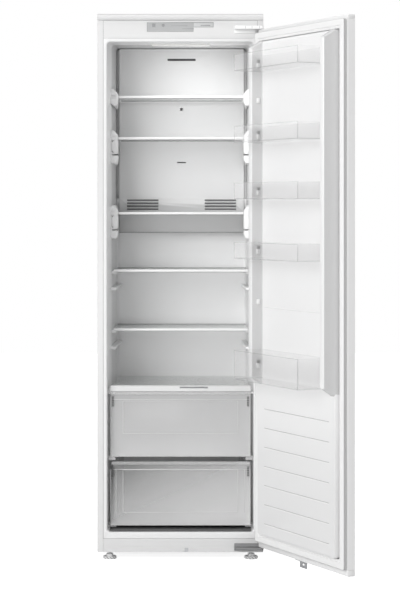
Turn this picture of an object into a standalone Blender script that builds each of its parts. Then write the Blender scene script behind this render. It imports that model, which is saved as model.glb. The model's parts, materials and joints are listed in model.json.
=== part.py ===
"""A built-in larder refrigerator with its door swung open, modelled piece by piece in metres.

The frame: X runs to the right, Y runs to the back and Z up. The origin is the middle of the base tray's
underside. The door hangs on the right and is modelled shut, under an empty on its hinge axis, which then
turns it to its open rest position.
"""

import math

import bmesh
import bpy
from mathutils import Matrix, Vector

# Shared clearances and fine steps
GAP = 0.0003
OVERRUN = 0.030
SEAM = 0.0015
ROUND_SIDES = 24

# The steel case
CASE_WIDTH = 0.540
CASE_DEPTH = 0.505
CASE_HEIGHT = 1.730
CASE_SHEET = 0.0012
CASE_FLANGE = 0.019
HALF = CASE_WIDTH / 2
FRONT = -CASE_DEPTH / 2
BACK = CASE_DEPTH / 2
INSIDE_HALF = HALF - CASE_SHEET - GAP
WINDOW_HALF = HALF - CASE_FLANGE
TOP_INSIDE = CASE_HEIGHT - CASE_SHEET - GAP

# The base tray, its rear skids and the front feet
TRAY_FLOOR = 0.0020
TRAY_WALL = 0.0015
TRAY_HEIGHT = 0.022
FOOT_HEIGHT = 0.026
FOOT_RADIUS = 0.022
FOOT_PAD = 0.009
FOOT_STEM_RADIUS = 0.005
FOOT_NUT_RADIUS = 0.011
FOOT_NUT_HEIGHT = 0.008
FOOT_SIDE_INSET = 0.039
FOOT_SETBACK = 0.032
FOOT_FLUTE_DEPTH = 0.0014
SKID_LENGTH = 0.060
SKID_WIDTH = 0.030
SKID_INSET = 0.030

# The front trims
PLINTH_THICK = 0.003
PLINTH_TOP = 0.0442
PLINTH_LIP = 0.010
PLINTH_NOTCH_X = 0.020
PLINTH_NOTCH_WIDTH = 0.012
PLINTH_NOTCH_HEIGHT = 0.014
FASCIA_DROP = 0.0589
FASCIA_BOTTOM = CASE_HEIGHT - FASCIA_DROP
FASCIA_THICK = 0.0122
TRIM_HEIGHT = 0.022
TRIM_DEPTH = 0.090
TRIM_OVERHANG = 0.010
TRIM_WALL = 0.006
TRIM_SEAT = 0.0005

# The display insert in the fascia and its two keys
INSERT_HALF = 0.1085
INSERT_DROP = 0.0067
INSERT_STRIP_HEIGHT = 0.0162
INSERT_LOWER_HEIGHT = 0.0143
INSERT_TOP = CASE_HEIGHT - INSERT_DROP
INSERT_SHOULDER = INSERT_TOP - INSERT_STRIP_HEIGHT
INSERT_BOTTOM = INSERT_SHOULDER - INSERT_LOWER_HEIGHT
INSERT_LOWER_RIGHT = 0.043
INSERT_THICK = 0.0035
INSERT_PROUD = 0.0005
KEY_ROOM = 0.0015
SQUARE_KEY_X = -0.0865
SQUARE_KEY_SIZE = 0.011
ROUND_KEY_X = -0.0555
ROUND_KEY_RADIUS = 0.0052
KEY_DROP = 0.0103
KEY_Z = INSERT_TOP - KEY_DROP
KEY_PROUD = 0.0008
KEY_THICK = 0.0034

# The liner: the moulded cabin
LINER_WALL = 0.002
LINER_FLANGE = 0.002
SIDE_FOAM = 0.0315
OPENING_HALF = HALF - SIDE_FOAM
SIDE_WALL_DRAW = 0.013
BACK_WALL_HALF = OPENING_HALF - SIDE_WALL_DRAW
OPENING_BOTTOM = 0.066
TOP_FOAM = 0.0705
OPENING_TOP = CASE_HEIGHT - TOP_FOAM
BACK_FOAM = 0.057
LINER_DEPTH = CASE_DEPTH - BACK_FOAM
CEILING_RISE = 0.015
HUMP_REACH = 0.163
HUMP_START = LINER_DEPTH - HUMP_REACH
HUMP_SLOPE = 0.020
HUMP_TOP = 0.280
HUMP_RISE = 0.010
FLOOR_RISE = 0.004
CORNER_RADIUS = 0.011
LINER_FLANGE_BOTTOM = PLINTH_TOP + GAP
LINER_FLANGE_TOP = FASCIA_BOTTOM - GAP
RIB_REACH = 0.018
RIB_HEIGHT = 0.009
SPARE_RIB_FRONT = 0.138
RIB_BACK_ROOM = 0.008
RIB_BACK = LINER_DEPTH - RIB_BACK_ROOM
DRAWER_LEDGE_REACH = 0.024
DRAWER_LEDGE_FRONT = 0.040

# The foam and the compressor's room
FOAM_FRONT = FASCIA_THICK + GAP
FOAM_BOTTOM = TRAY_HEIGHT + GAP
COMPRESSOR_ROOM_DEPTH = 0.165
COMPRESSOR_ROOM_TOP = 0.245
CONDENSER_ROOM = 0.020
BACK_SHEET = 0.001
PANEL_FIELD = 0.0005
PANEL_STRIP_ROOM = 0.005

# The crisper cover's own heights, which the drawers and the shelves above are placed from
COVER_TRIM_BOTTOM = 0.5195
COVER_TRIM_HEIGHT = 0.0185
COVER_TRIM_TOP = COVER_TRIM_BOTTOM + COVER_TRIM_HEIGHT
COVER_GLASS_SEAT = 0.0095
COVER_GLASS_UNDER = COVER_TRIM_BOTTOM + COVER_GLASS_SEAT

# Shelves: the underside of each pane lies at a share of the height from the crisper cover to the ceiling
SHELF_LEVEL_SHARES = {"1": 0.84708, "2": 0.72403, "3": 0.50067, "4": 0.32947, "5": 0.15381}
SHELF_LEVELS = {
    shelf: COVER_TRIM_TOP + share * (OPENING_TOP - COVER_TRIM_TOP)
    for shelf, share in SHELF_LEVEL_SHARES.items()
}
DUCT_THICK = 0.048
DUCT_BOX_REACH = 0.015
DUCT_FACE = LINER_DEPTH - DUCT_THICK
DUCT_BOX_FACE = DUCT_FACE - DUCT_BOX_REACH
SHELF_AIR_GAP = 0.005
LONG_SHELF_AIR_GAP = 0.012
SHORT_SHELF_BACK = DUCT_BOX_FACE - SHELF_AIR_GAP
LONG_SHELF_BACK = LINER_DEPTH - LONG_SHELF_AIR_GAP
LONG_SHELVES = ("4", "5")
GLASS_THICK = 0.004
GLASS_SIDE_ROOM = 0.017
GLASS_HALF = OPENING_HALF - GLASS_SIDE_ROOM
GLASS_FRONT = 0.168
SHELF_TRIM_FRONT = 0.160
SHELF_TRIM_BACK = 0.178
SHELF_TRIM_HEIGHT = 0.0088
TRIM_NOSE_SHARE = 0.8
SHELF_TRIM_SIDE_ROOM = 0.0145
SHELF_TRIM_HALF = OPENING_HALF - SHELF_TRIM_SIDE_ROOM
SPARE_RIB_DROP = 0.053

# Side supports for the upper three shelves
SUPPORT_FRONT = 0.148
SUPPORT_BACK_ROOM = 0.004
SUPPORT_BACK = SHORT_SHELF_BACK - SUPPORT_BACK_ROOM
SUPPORT_NOSE = 0.016
SUPPORT_REACH = 0.024
SUPPORT_PLATE = 0.0042
SUPPORT_HEAD = 0.030
SUPPORT_FOOT = 0.028
SUPPORT_GROOVE_SPACING = 0.055
SUPPORT_LEVELS = {"1": 1, "2": 2, "3": 2}
LEDGE_THICK = 0.006
SUPPORT_SHOULDER_SHARES = (0.30, 0.93)
SUPPORT_CHEEK_SHARES = (0.85, 0.50)
SUPPORT_WAIST_SHARE = 0.60
SUPPORT_TOE_SHARE = 0.75
SUPPORT_NOSE_SHARES = ((0.0, 0.55), (0.4, 0.9), (1.0, 1.0))

# The crisper cover, with its trim and humidity slider
COVER_GLASS_FRONT = 0.046
COVER_TRIM_FRONT = 0.030
COVER_TRIM_DEPTH = 0.026
DRAWER_SIDE_ROOM = 0.0095
COVER_HALF = OPENING_HALF - DRAWER_SIDE_ROOM
VENT_SLOT_LEFT = -0.002
VENT_SLOT_RIGHT = 0.090
VENT_SLOT_RISE = 0.0130
VENT_SLOT_Z = COVER_TRIM_BOTTOM + VENT_SLOT_RISE
VENT_SLOT_HEIGHT = 0.0050
VENT_SLOT_DEPTH = 0.0060
SLIDER_WIDTH = 0.009
SLIDER_PROUD = 0.0025
COVER_RIB_REACH = 0.0110

# Drawers and their runners
DRAWER_FRONT = 0.035
DRAWER_FRONT_HALF = OPENING_HALF - DRAWER_SIDE_ROOM
DRAWER_EDGE = 0.0045
DRAWER_BODY_HALF = DRAWER_FRONT_HALF - DRAWER_EDGE
DRAWER_WALL = 0.0024
DRAWER_DRAFT = 0.006
DRAWER_RIM = 0.004
DRAWER_GRIP_REACH = 0.009
DRAWER_GRIP_HEIGHT = 0.020
GRIP_SHOULDER_SHARE = 0.55
GRIP_BROW_SHARE = 0.35
GRIP_THROAT_SHARE = 0.40
UPPER_DRAWER_BOTTOM = 0.3062
DRAWER_ROOM = 0.0007
DRAWER_TUB_DROP = 0.0118
UPPER_FRONT_TOP = COVER_TRIM_BOTTOM - DRAWER_ROOM
UPPER_BODY_TOP = UPPER_FRONT_TOP - DRAWER_TUB_DROP
UPPER_DRAWER_BACK_ROOM = 0.033
UPPER_DRAWER_BACK = LINER_DEPTH - UPPER_DRAWER_BACK_ROOM
LOWER_DRAWER_BOTTOM = 0.0812
BETWEEN_DRAWERS = 0.016
LOWER_FRONT_TOP = UPPER_DRAWER_BOTTOM - BETWEEN_DRAWERS
LOWER_TUB_DROP = 0.0102
LOWER_BODY_TOP = LOWER_FRONT_TOP - LOWER_TUB_DROP
LOWER_DRAWER_BACK_ROOM = 0.013
LOWER_DRAWER_BACK = HUMP_START - LOWER_DRAWER_BACK_ROOM
RUNNER_REACH = 0.0215
RUNNER_HEIGHT = 0.0130
RUNNER_FRONT = 0.0400
RUNNER_OVERHANG = 0.005
RUNNER_BACK = HUMP_START + RUNNER_OVERHANG
RUNNER_WEB = 0.0030

# The air duct cover at the back, and what it hides
DUCT_SIDE_ROOM = 0.009
DUCT_HALF = BACK_WALL_HALF - DUCT_SIDE_ROOM
DUCT_WALL = 0.0025
DUCT_BOX_DROP = 0.0635
DUCT_BOTTOM = SHELF_LEVELS["3"] - DUCT_BOX_DROP
DUCT_BAND_RISE = 0.0055
DUCT_BAND_BOTTOM = SHELF_LEVELS["3"] + DUCT_BAND_RISE
DUCT_BAND_HEIGHT = 0.0485
DUCT_BAND_TOP = DUCT_BAND_BOTTOM + DUCT_BAND_HEIGHT
DUCT_TOP_GAP = 0.0015
VENT_HALF_WIDTH = 0.0545
VENT_SIDE_ROOM = 0.082
VENT_CENTRE = DUCT_HALF - VENT_SIDE_ROOM
VENT_HEIGHT = 0.0046
VENT_PITCH = 0.0104
VENT_COUNT = 4
VENT_RISE = 0.010
VENT_LOWEST = DUCT_BAND_BOTTOM + VENT_RISE
RETURN_SLOT_HALF = 0.049
RETURN_SLOT_HEIGHT = 0.008
RETURN_SLOT_DROP = 0.026
RETURN_SLOT_Z = OPENING_TOP - RETURN_SLOT_DROP
SENSOR_SIZE = 0.010
SENSOR_DROP = 0.0266
SENSOR_Z = SHELF_LEVELS["1"] - SENSOR_DROP
SMALL_SLOT_HALF = 0.0155
SMALL_SLOT_HEIGHT = 0.0045
SMALL_SLOT_DROP = 0.073
SMALL_SLOT_Z = SHELF_LEVELS["2"] - SMALL_SLOT_DROP
EVAPORATOR_SIDE_ROOM = 0.0415
EVAPORATOR_HALF = DUCT_HALF - EVAPORATOR_SIDE_ROOM
EVAPORATOR_DEPTH = 0.030
EVAPORATOR_FINS = 24
FIN_SHARE = 0.35
EVAPORATOR_BACKBONE = 0.006
FAN_RISE = 0.0615
FAN_Z = DUCT_BAND_TOP + FAN_RISE
EVAPORATOR_RISE = 0.095
EVAPORATOR_DROP = 0.0595
EVAPORATOR_BOTTOM = FAN_Z + EVAPORATOR_RISE
EVAPORATOR_TOP = OPENING_TOP - EVAPORATOR_DROP
FAN_RADIUS = 0.046
FAN_HUB_RADIUS = 0.014
FAN_DEPTH = 0.012
FAN_BLADES = 5
FAN_BLADE_THICK = 0.0016
FAN_PITCH_DEGREES = 32.0
BLADE_STATION_SHARES = (0.0, 0.5, 1.0)
BLADE_ROOT_SHARE = 0.6
BLADE_ROOT_WIDTH_SHARE = 0.75
BLADE_ROOT_PITCH_SHARE = 1.15
BLADE_TWIST_SHARE = 0.4
MOTOR_RADIUS = 0.022
MOTOR_DEPTH = 0.016
MOTOR_ARM_REACH = 0.058
MOTOR_ARM_WIDTH = 0.010
MOTOR_ARM_THICK = 0.0030
SHAFT_RADIUS = 0.0025
SHAFT_LENGTH = 0.010
LAMP_HALF = 0.100
LAMP_FRONT = 0.125
LAMP_DEPTH = 0.036
LAMP_DROP = 0.0055

# The cooling plant at the back
COMPRESSOR_HALF_WIDTH = 0.092
COMPRESSOR_HALF_DEPTH = 0.066
COMPRESSOR_HEIGHT = 0.135
COMPRESSOR_PLATE_THICK = 0.003
COMPRESSOR_FOOT_HEIGHT = 0.014
COMPRESSOR_FOOT_RADIUS = 0.011
COMPRESSOR_SEAM = 0.0035
DOME_SQUARENESS_SHARE = 0.6
DOME_CAP_SHARE = 0.18
DRIP_TRAY_HALF_WIDTH = 0.098
DRIP_TRAY_HALF_DEPTH = 0.068
DRIP_TRAY_HEIGHT = 0.028
DRIP_TRAY_WALL = 0.0022
CONDENSER_SIDE_ROOM = 0.045
CONDENSER_HALF = HALF - CONDENSER_SIDE_ROOM
CONDENSER_BOTTOM = 0.300
CONDENSER_RUNS = 12
CONDENSER_TOP_ROOM = 0.1285
CONDENSER_PITCH = (TOP_INSIDE - CONDENSER_TOP_ROOM - CONDENSER_BOTTOM) / (CONDENSER_RUNS + 1)
CONDENSER_SHEET = 0.0012
CONDENSER_TUBE = 0.0042
CONDENSER_RETURN = 0.012

# The hinges
HINGE_INSET = 0.008
HINGE_X = HALF - HINGE_INSET
HINGE_SETBACK = 0.020
HINGE_Y = FRONT - HINGE_SETBACK
DOOR_OPEN_DEGREES = 117.7
PIN_RADIUS = 0.004
PIN_ROOM = 0.0006
HINGE_LENGTH = 0.0865
HINGE_LEFT = HINGE_X - HINGE_LENGTH
HINGE_LEAF_REACH = 0.0345
HINGE_NOSE_RADIUS = 0.0080
HINGE_FLANGE_THICK = 0.003
DOOR_DROP = 0.032
DOOR_TOP = CASE_HEIGHT - DOOR_DROP
HINGE_DOOR_GAP = 0.0005
TOP_LEAF_THICK = 0.007
TOP_FLANGE_DROP = 0.0115
TOP_LEAF_BOTTOM = DOOR_TOP + HINGE_DOOR_GAP
TOP_LEAF_TOP = TOP_LEAF_BOTTOM + TOP_LEAF_THICK
TOP_FLANGE_BOTTOM = TOP_LEAF_BOTTOM - TOP_FLANGE_DROP
TOP_PIN_LENGTH = 0.0105
BOTTOM_LEAF_TOP = 0.0194
BOTTOM_LEAF_THICK = 0.0050
BOTTOM_FLANGE_BOTTOM = 0.0060
BOTTOM_FLANGE_TOP = 0.0295
BOTTOM_PIN_LENGTH = 0.0165

# The door, in millimetre-sized steps from its hinge axis: -X to the free edge, +Y into the cabin
DOOR_BOTTOM = 0.0200
DOOR_HINGE_EDGE = HINGE_INSET
DOOR_FREE_EDGE = DOOR_HINGE_EDGE - CASE_WIDTH
DOOR_OUTER = -HINGE_SETBACK
DOOR_TRAY_DEPTH = 0.025
DOOR_INNER = DOOR_OUTER + DOOR_TRAY_DEPTH
DOOR_SHEET = 0.001
DOOR_LIP = 0.009
TOP_CAP_HEIGHT = 0.012
BOTTOM_CAP_HEIGHT = 0.0196
GASKET_WIDTH = 0.020
GASKET_BASE = 0.0080
GASKET_FACE = HINGE_SETBACK - GAP
GASKET_EDGE_INSET = 0.0005
GASKET_DROP = 0.0125
GASKET_TOP = DOOR_TOP - GASKET_DROP
GASKET_BOTTOM = 0.0405
GASKET_SECTION_SHARES = (
    (0.00, 0.00),
    (0.00, 0.70),
    (0.20, 0.95),
    (0.45, 1.00),
    (0.90, 1.00),
    (1.00, 0.88),
    (0.86, 0.45),
    (1.00, 0.25),
    (1.00, 0.00),
)
PLUG_ROOM = 0.002
PLUG_HALF = OPENING_HALF - PLUG_ROOM
PLUG_BOTTOM_ROOM = 0.003
PLUG_BOTTOM = OPENING_BOTTOM + PLUG_BOTTOM_ROOM
PLUG_TOP_ROOM = 0.0035
PLUG_TOP = OPENING_TOP - PLUG_TOP_ROOM
PLUG_FACE = 0.0285
PLUG_DRAFT = 0.001
PLUG_CORNER_RADIUS = 0.005
DYKE_FOOT_INSET = 0.0020
DYKE_WIDTH = 0.0300
DYKE_FACE = 0.0660
DYKE_OUTER_DRAFT = 0.0045
DYKE_INNER_DRAFT = 0.0035
DYKE_RISE = 0.019
DYKE_BOTTOM = COVER_TRIM_TOP + DYKE_RISE
DYKE_TOP = PLUG_TOP - DYKE_FOOT_INSET
DYKE_END_DRAFT = 0.0220
LINER_SKIN = 0.0030
GROOVE_COUNT = 7
GROOVE_INSET = 0.068
GROOVE_LEFT = DOOR_FREE_EDGE + GROOVE_INSET
GROOVE_RIGHT = -GROOVE_INSET
GROOVE_RISE = 0.0395
GROOVE_LOWEST = PLUG_BOTTOM + GROOVE_RISE
GROOVE_PITCH = 0.0612
GROOVE_HEIGHT = 0.0045
GROOVE_DEPTH = 0.0014
RIDGE_SHARE = 0.22334
RIDGE_Z = DYKE_BOTTOM + RIDGE_SHARE * (DYKE_TOP - DYKE_BOTTOM)
RIDGE_HEIGHT = 0.0040
RIDGE_PROUD = 0.0012

# Door bins and the lugs that carry them, each at a share of the height that the dykes rise
BIN_SHARES = {"1": 0.90793, "2": 0.70100, "3": 0.53692, "4": 0.36554, "5": 0.01641}
SPARE_LUG_SHARES = (0.83364, 0.24704)
SMALL_BIN_HEIGHT = 0.0535
BOTTLE_BIN_HEIGHT = 0.0935
BOTTLE_BIN = "5"
BIN_BACK_ROOM = 0.0022
BIN_BACK = PLUG_FACE + BIN_BACK_ROOM
BIN_DEPTH = 0.1095
BIN_FACE = PLUG_FACE + BIN_DEPTH
BIN_WALL = 0.0022
BIN_DRAFT = 0.003
BIN_SIDE_ROOM = 0.0006
LUG_REACH = 0.0040
LUG_HEIGHT = 0.0160
LUG_DEPTH = 0.0090
LUG_SETBACK = 0.0110
SMALL_BIN_LUG_RISE = 0.030
BOTTLE_BIN_LUG_RISE = 0.048
EAR_HEIGHT = 0.011

# Brackets for the furniture door
BRACKET_HEIGHT = 0.042
BRACKET_WIDTH = 0.055
BRACKET_PROUD = 0.0038
BRACKET_GROOVE = 0.0015
BRACKET_SEAT = 0.0005
BRACKET_RISE_SHARE = 0.55364
BRACKET_FOOT = 0.0750
BRACKET_CENTRES = {
    "upper": DOOR_BOTTOM + BRACKET_RISE_SHARE * (DOOR_TOP - DOOR_BOTTOM),
    "lower": DOOR_BOTTOM + BRACKET_FOOT,
}
BRACKET_EDGE_INSET = 0.0100
HANGER_WIDTH = 0.040
HANGER_DROP = 0.027
HANGER_THICK = 0.003
HANGER_REACH = 0.296
HANGER_X = DOOR_FREE_EDGE + HANGER_REACH
HANGER_TAB = 0.020
HANGER_SLOT_WIDTH = 0.014
HANGER_SLOT_HEIGHT = 0.006
HANGER_SLOT_SHARE = 0.6


def material(name, colour, roughness, metallic=0.0, alpha=1.0, glow=0.0):
    """One plain finish."""
    finish = bpy.data.materials.new(name)
    finish.use_nodes = True
    shader = finish.node_tree.nodes["Principled BSDF"]
    shader.inputs["Base Color"].default_value = (*colour, 1.0)
    shader.inputs["Roughness"].default_value = roughness
    shader.inputs["Metallic"].default_value = metallic
    shader.inputs["Alpha"].default_value = alpha
    if glow:
        shader.inputs["Emission Color"].default_value = (*colour, 1.0)
        shader.inputs["Emission Strength"].default_value = glow
    return finish


def at_depth(depth):
    """The Y of a place that lies this far behind the front flange."""
    return FRONT + depth


def cabin_half(depth):
    """Half the cabin's width at a depth, because its side walls draw in towards the back."""
    return OPENING_HALF - (OPENING_HALF - BACK_WALL_HALF) * depth / LINER_DEPTH


def ceiling_height(depth):
    """The cabin ceiling's height at a depth."""
    return OPENING_TOP + CEILING_RISE * depth / LINER_DEPTH


def floor_height(depth):
    """The cabin floor's height at a depth in front of the compressor hump."""
    return OPENING_BOTTOM + FLOOR_RISE * depth / HUMP_START


def add_block(bm, low, high):
    """Adds a box between two corners to a mesh and returns its vertices."""
    low = Vector(low)
    high = Vector(high)
    place = Matrix.Translation((low + high) / 2) @ Matrix.Diagonal((*(high - low), 1))
    return bmesh.ops.create_cube(bm, size=1, matrix=place)["verts"]


def add_loft(bm, rings):
    """Joins rings of as many points each by quads, and closes both ends."""
    loops = [[bm.verts.new(point) for point in ring] for ring in rings]
    for first, second in zip(loops, loops[1:]):
        count = len(first)
        for i in range(count):
            j = (i + 1) % count
            bm.faces.new((first[i], first[j], second[j], second[i]))
    bm.faces.new(loops[0])
    bm.faces.new(loops[-1][::-1])


def add_prism(bm, outline, axis, start, end):
    """Carries a closed outline along X, Y or Z. The outline's pairs are the other two axes in order."""
    place = {
        "X": lambda a, b, along: (along, a, b),
        "Y": lambda a, b, along: (a, along, b),
        "Z": lambda a, b, along: (a, b, along),
    }[axis]
    add_loft(bm, [[place(a, b, along) for a, b in outline] for along in (start, end)])


def add_turned(bm, profile, centre, axis="Z", sides=ROUND_SIDES):
    """Turns a profile of (radius, height) pairs about an axis through a point; both ends lie on the axis."""
    turn = {"X": Matrix.Rotation(math.pi / 2, 4, "Y"), "Z": Matrix.Identity(4)}.get(
        axis, Matrix.Rotation(-math.pi / 2, 4, "X")
    )
    rings = []
    for radius, height in profile:
        ring = []
        for i in range(sides):
            angle = math.tau * i / sides
            point = Vector((radius * math.cos(angle), radius * math.sin(angle), height))
            ring.append(Vector(centre) + turn @ point)
        rings.append(ring)
    add_loft(bm, rings)


def rounded_outline(corners, radius, steps=3):
    """Rounds the corners of a convex or stepped outline with short arcs."""
    points = []
    count = len(corners)
    for i in range(count):
        corner = Vector(corners[i])
        to_last = (Vector(corners[i - 1]) - corner).normalized()
        to_next = (Vector(corners[(i + 1) % count]) - corner).normalized()
        half_angle = to_last.angle(to_next) / 2
        reach = radius / math.tan(half_angle)
        centre = corner + (to_last + to_next).normalized() * radius / math.sin(half_angle)
        start = corner + to_last * reach - centre
        end = corner + to_next * reach - centre
        sweep = math.atan2(start.x * end.y - start.y * end.x, start.dot(end))
        for k in range(steps + 1):
            turned = Matrix.Rotation(sweep * k / steps, 2) @ start
            points.append(tuple(centre + turned))
    return points


def grown_outline(points, distance):
    """Moves every edge of a counter-clockwise outline outwards by a distance."""
    grown = []
    count = len(points)
    for i in range(count):
        before, here, after = (Vector(points[j % count]) for j in (i - 1, i, i + 1))
        first = (here - before).normalized()
        second = (after - here).normalized()
        normals = Vector((first.y, -first.x)), Vector((second.y, -second.x))
        middle = (normals[0] + normals[1]).normalized()
        grown.append(tuple(here + middle * distance / middle.dot(normals[0])))
    return grown


def place_mesh(name, bm, finish=None, parent=None, smooth_degrees=None):
    """Makes an object of a mesh, with its normals outwards."""
    bmesh.ops.recalc_face_normals(bm, faces=bm.faces)
    mesh = bpy.data.meshes.new(name)
    bm.to_mesh(mesh)
    bm.free()
    obj = bpy.data.objects.new(name, mesh)
    bpy.context.scene.collection.objects.link(obj)
    obj.parent = parent
    if finish:
        mesh.materials.append(finish)
    if smooth_degrees:
        mesh.shade_smooth()
        mesh.set_sharp_from_angle(angle=math.radians(smooth_degrees))
    return obj


def soften(obj, width, segments=2, degrees=40.0):
    """Rounds an object's sharp edges."""
    bevel = obj.modifiers.new("soft edges", "BEVEL")
    bevel.width = width
    bevel.segments = segments
    bevel.limit_method = "ANGLE"
    bevel.angle_limit = math.radians(degrees)
    bevel.harden_normals = False
    return obj


def combine(obj, tool_mesh, operation, soft=0.0, segments=2):
    """Cuts a tool mesh out of an object, or joins it on. The tool stays as a wire helper."""
    number = len(obj.modifiers)
    tool = place_mesh(f"{obj.name}_tool_{number}", tool_mesh, parent=obj.parent)
    tool.hide_render = True
    tool.display_type = "WIRE"
    if soft:
        soften(tool, soft, segments)
    change = obj.modifiers.new(operation.lower(), "BOOLEAN")
    change.operation = operation
    change.object = tool
    return obj


def blocks(*corner_pairs):
    """A mesh of one or more boxes."""
    bm = bmesh.new()
    for low, high in corner_pairs:
        add_block(bm, low, high)
    return bm


def liner_outline(grow=0.0, front=0.0):
    """The cabin's side view as (depth, height) pairs, counter-clockwise, with its front edge at a depth."""
    shape = [
        (0.0, OPENING_BOTTOM),
        (HUMP_START, OPENING_BOTTOM + FLOOR_RISE),
        (HUMP_START + HUMP_SLOPE, HUMP_TOP),
        (LINER_DEPTH, HUMP_TOP + HUMP_RISE),
        (LINER_DEPTH, OPENING_TOP + CEILING_RISE),
        (0.0, OPENING_TOP),
    ]
    shape = grown_outline(shape, grow) if grow else shape
    for first, second in ((0, 1), (-1, -2)):
        depth, z = shape[first]
        slope = (shape[second][1] - z) / (shape[second][0] - depth)
        shape[first] = (front, z + slope * (front - depth))
    return shape


def add_cabin(bm, grow=0.0, front=0.0):
    """Adds the cabin's volume to a mesh, its walls moved outwards by grow."""
    outline = liner_outline(grow, front)
    rings = []
    for side in (-1, 1):
        rings.append(
            [(side * (cabin_half(d) + grow), at_depth(d), z) for d, z in outline]
        )
    add_loft(bm, rings)


def build_case(steel):
    """Folded steel case, open at the back and below, whose top is stepped down where its trim sits."""
    case = place_mesh(
        "outer_case", blocks(((-HALF, FRONT, 0), (HALF, BACK, CASE_HEIGHT))), steel
    )
    hollow = blocks(
        (
            (CASE_SHEET - HALF, FRONT + CASE_SHEET, -OVERRUN),
            (HALF - CASE_SHEET, BACK + OVERRUN, CASE_HEIGHT - CASE_SHEET),
        )
    )
    combine(case, hollow, "DIFFERENCE")
    window = blocks(
        (
            (-WINDOW_HALF, FRONT - OVERRUN, -OVERRUN),
            (WINDOW_HALF, FRONT + OVERRUN, CASE_HEIGHT - CASE_SHEET),
        )
    )
    combine(case, window, "DIFFERENCE")
    seat = blocks(
        (
            (-HALF - OVERRUN, FRONT - OVERRUN, CASE_HEIGHT - TRIM_SEAT),
            (HALF + OVERRUN, FRONT + TRIM_DEPTH + GAP, CASE_HEIGHT + OVERRUN),
        )
    )
    combine(case, seat, "DIFFERENCE")


def build_base(zinc):
    """Base tray with a folded rim, holes for the front feet and two pressed skids at the back."""
    front = FRONT + PLINTH_THICK + GAP
    back = BACK - BACK_SHEET
    tray = place_mesh(
        "base_tray", blocks(((-INSIDE_HALF, front, 0), (INSIDE_HALF, back, TRAY_HEIGHT))), zinc
    )
    inside = blocks(
        (
            (TRAY_WALL - INSIDE_HALF, front + TRAY_WALL, TRAY_FLOOR),
            (INSIDE_HALF - TRAY_WALL, back - TRAY_WALL, TRAY_HEIGHT + OVERRUN),
        )
    )
    combine(tray, inside, "DIFFERENCE")
    skids = bmesh.new()
    for side in (-1, 1):
        x = side * (HALF - SKID_INSET - SKID_WIDTH / 2)
        low = (x - SKID_WIDTH / 2, back - SKID_INSET - SKID_LENGTH, -FOOT_HEIGHT)
        high = (x + SKID_WIDTH / 2, back - SKID_INSET, TRAY_FLOOR / 2)
        add_block(skids, low, high)
    combine(tray, skids, "UNION")
    holes = bmesh.new()
    for side in (-1, 1):
        radius = FOOT_STEM_RADIUS + GAP
        profile = [(radius, -OVERRUN), (radius, OVERRUN)]
        add_turned(holes, profile, foot_centre(side))
    combine(tray, holes, "DIFFERENCE")


def foot_centre(side):
    """Where a front foot stands: side is -1 for the left and 1 for the right."""
    return (side * (HALF - FOOT_SIDE_INSET), FRONT + FOOT_SETBACK, 0)


def build_feet(plastic):
    """Two front feet that screw up and down: a fluted pad, a nut and a stem through the tray."""
    for name, side in (("left", -1), ("right", 1)):
        bm = bmesh.new()
        add_turned(
            bm,
            [
                (FOOT_RADIUS - FOOT_FLUTE_DEPTH, -FOOT_HEIGHT),
                (FOOT_RADIUS, FOOT_FLUTE_DEPTH - FOOT_HEIGHT),
                (FOOT_RADIUS, FOOT_PAD - FOOT_HEIGHT),
                (FOOT_NUT_RADIUS, FOOT_PAD + FOOT_FLUTE_DEPTH - FOOT_HEIGHT),
                (FOOT_NUT_RADIUS, FOOT_PAD + FOOT_NUT_HEIGHT - FOOT_HEIGHT),
                (FOOT_STEM_RADIUS, FOOT_PAD + FOOT_NUT_HEIGHT - FOOT_HEIGHT),
                (FOOT_STEM_RADIUS, TRAY_HEIGHT - GAP),
            ],
            foot_centre(side),
        )
        place_mesh(f"front_foot_{name}", bm, plastic, smooth_degrees=40.0)


def build_foam(foam):
    """The foamed-in insulation between case and liner, stepped at the back for the compressor."""
    back = BACK - CONDENSER_ROOM - BACK_SHEET - GAP
    block = place_mesh(
        "insulation",
        blocks(
            ((-INSIDE_HALF, at_depth(FOAM_FRONT), FOAM_BOTTOM), (INSIDE_HALF, back, TOP_INSIDE))
        ),
        foam,
    )
    cabin = bmesh.new()
    add_cabin(cabin, LINER_WALL + GAP, -OVERRUN)
    combine(block, cabin, "DIFFERENCE")
    room = blocks(
        (
            (-HALF, BACK - COMPRESSOR_ROOM_DEPTH, -OVERRUN),
            (HALF, BACK + OVERRUN, COMPRESSOR_ROOM_TOP),
        )
    )
    combine(block, room, "DIFFERENCE")


def wall_block(bm, side, depths, reach, bury, lows, high):
    """Adds a ledge on a side wall that follows the wall's draft, from bury inside the wall to reach."""
    rings = []
    for depth, low in zip(depths, lows):
        inner = side * (cabin_half(depth) - reach)
        outer = side * (cabin_half(depth) + bury)
        y = at_depth(depth)
        rings.append([(inner, y, low), (outer, y, low), (outer, y, high), (inner, y, high)])
    add_loft(bm, rings)


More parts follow.
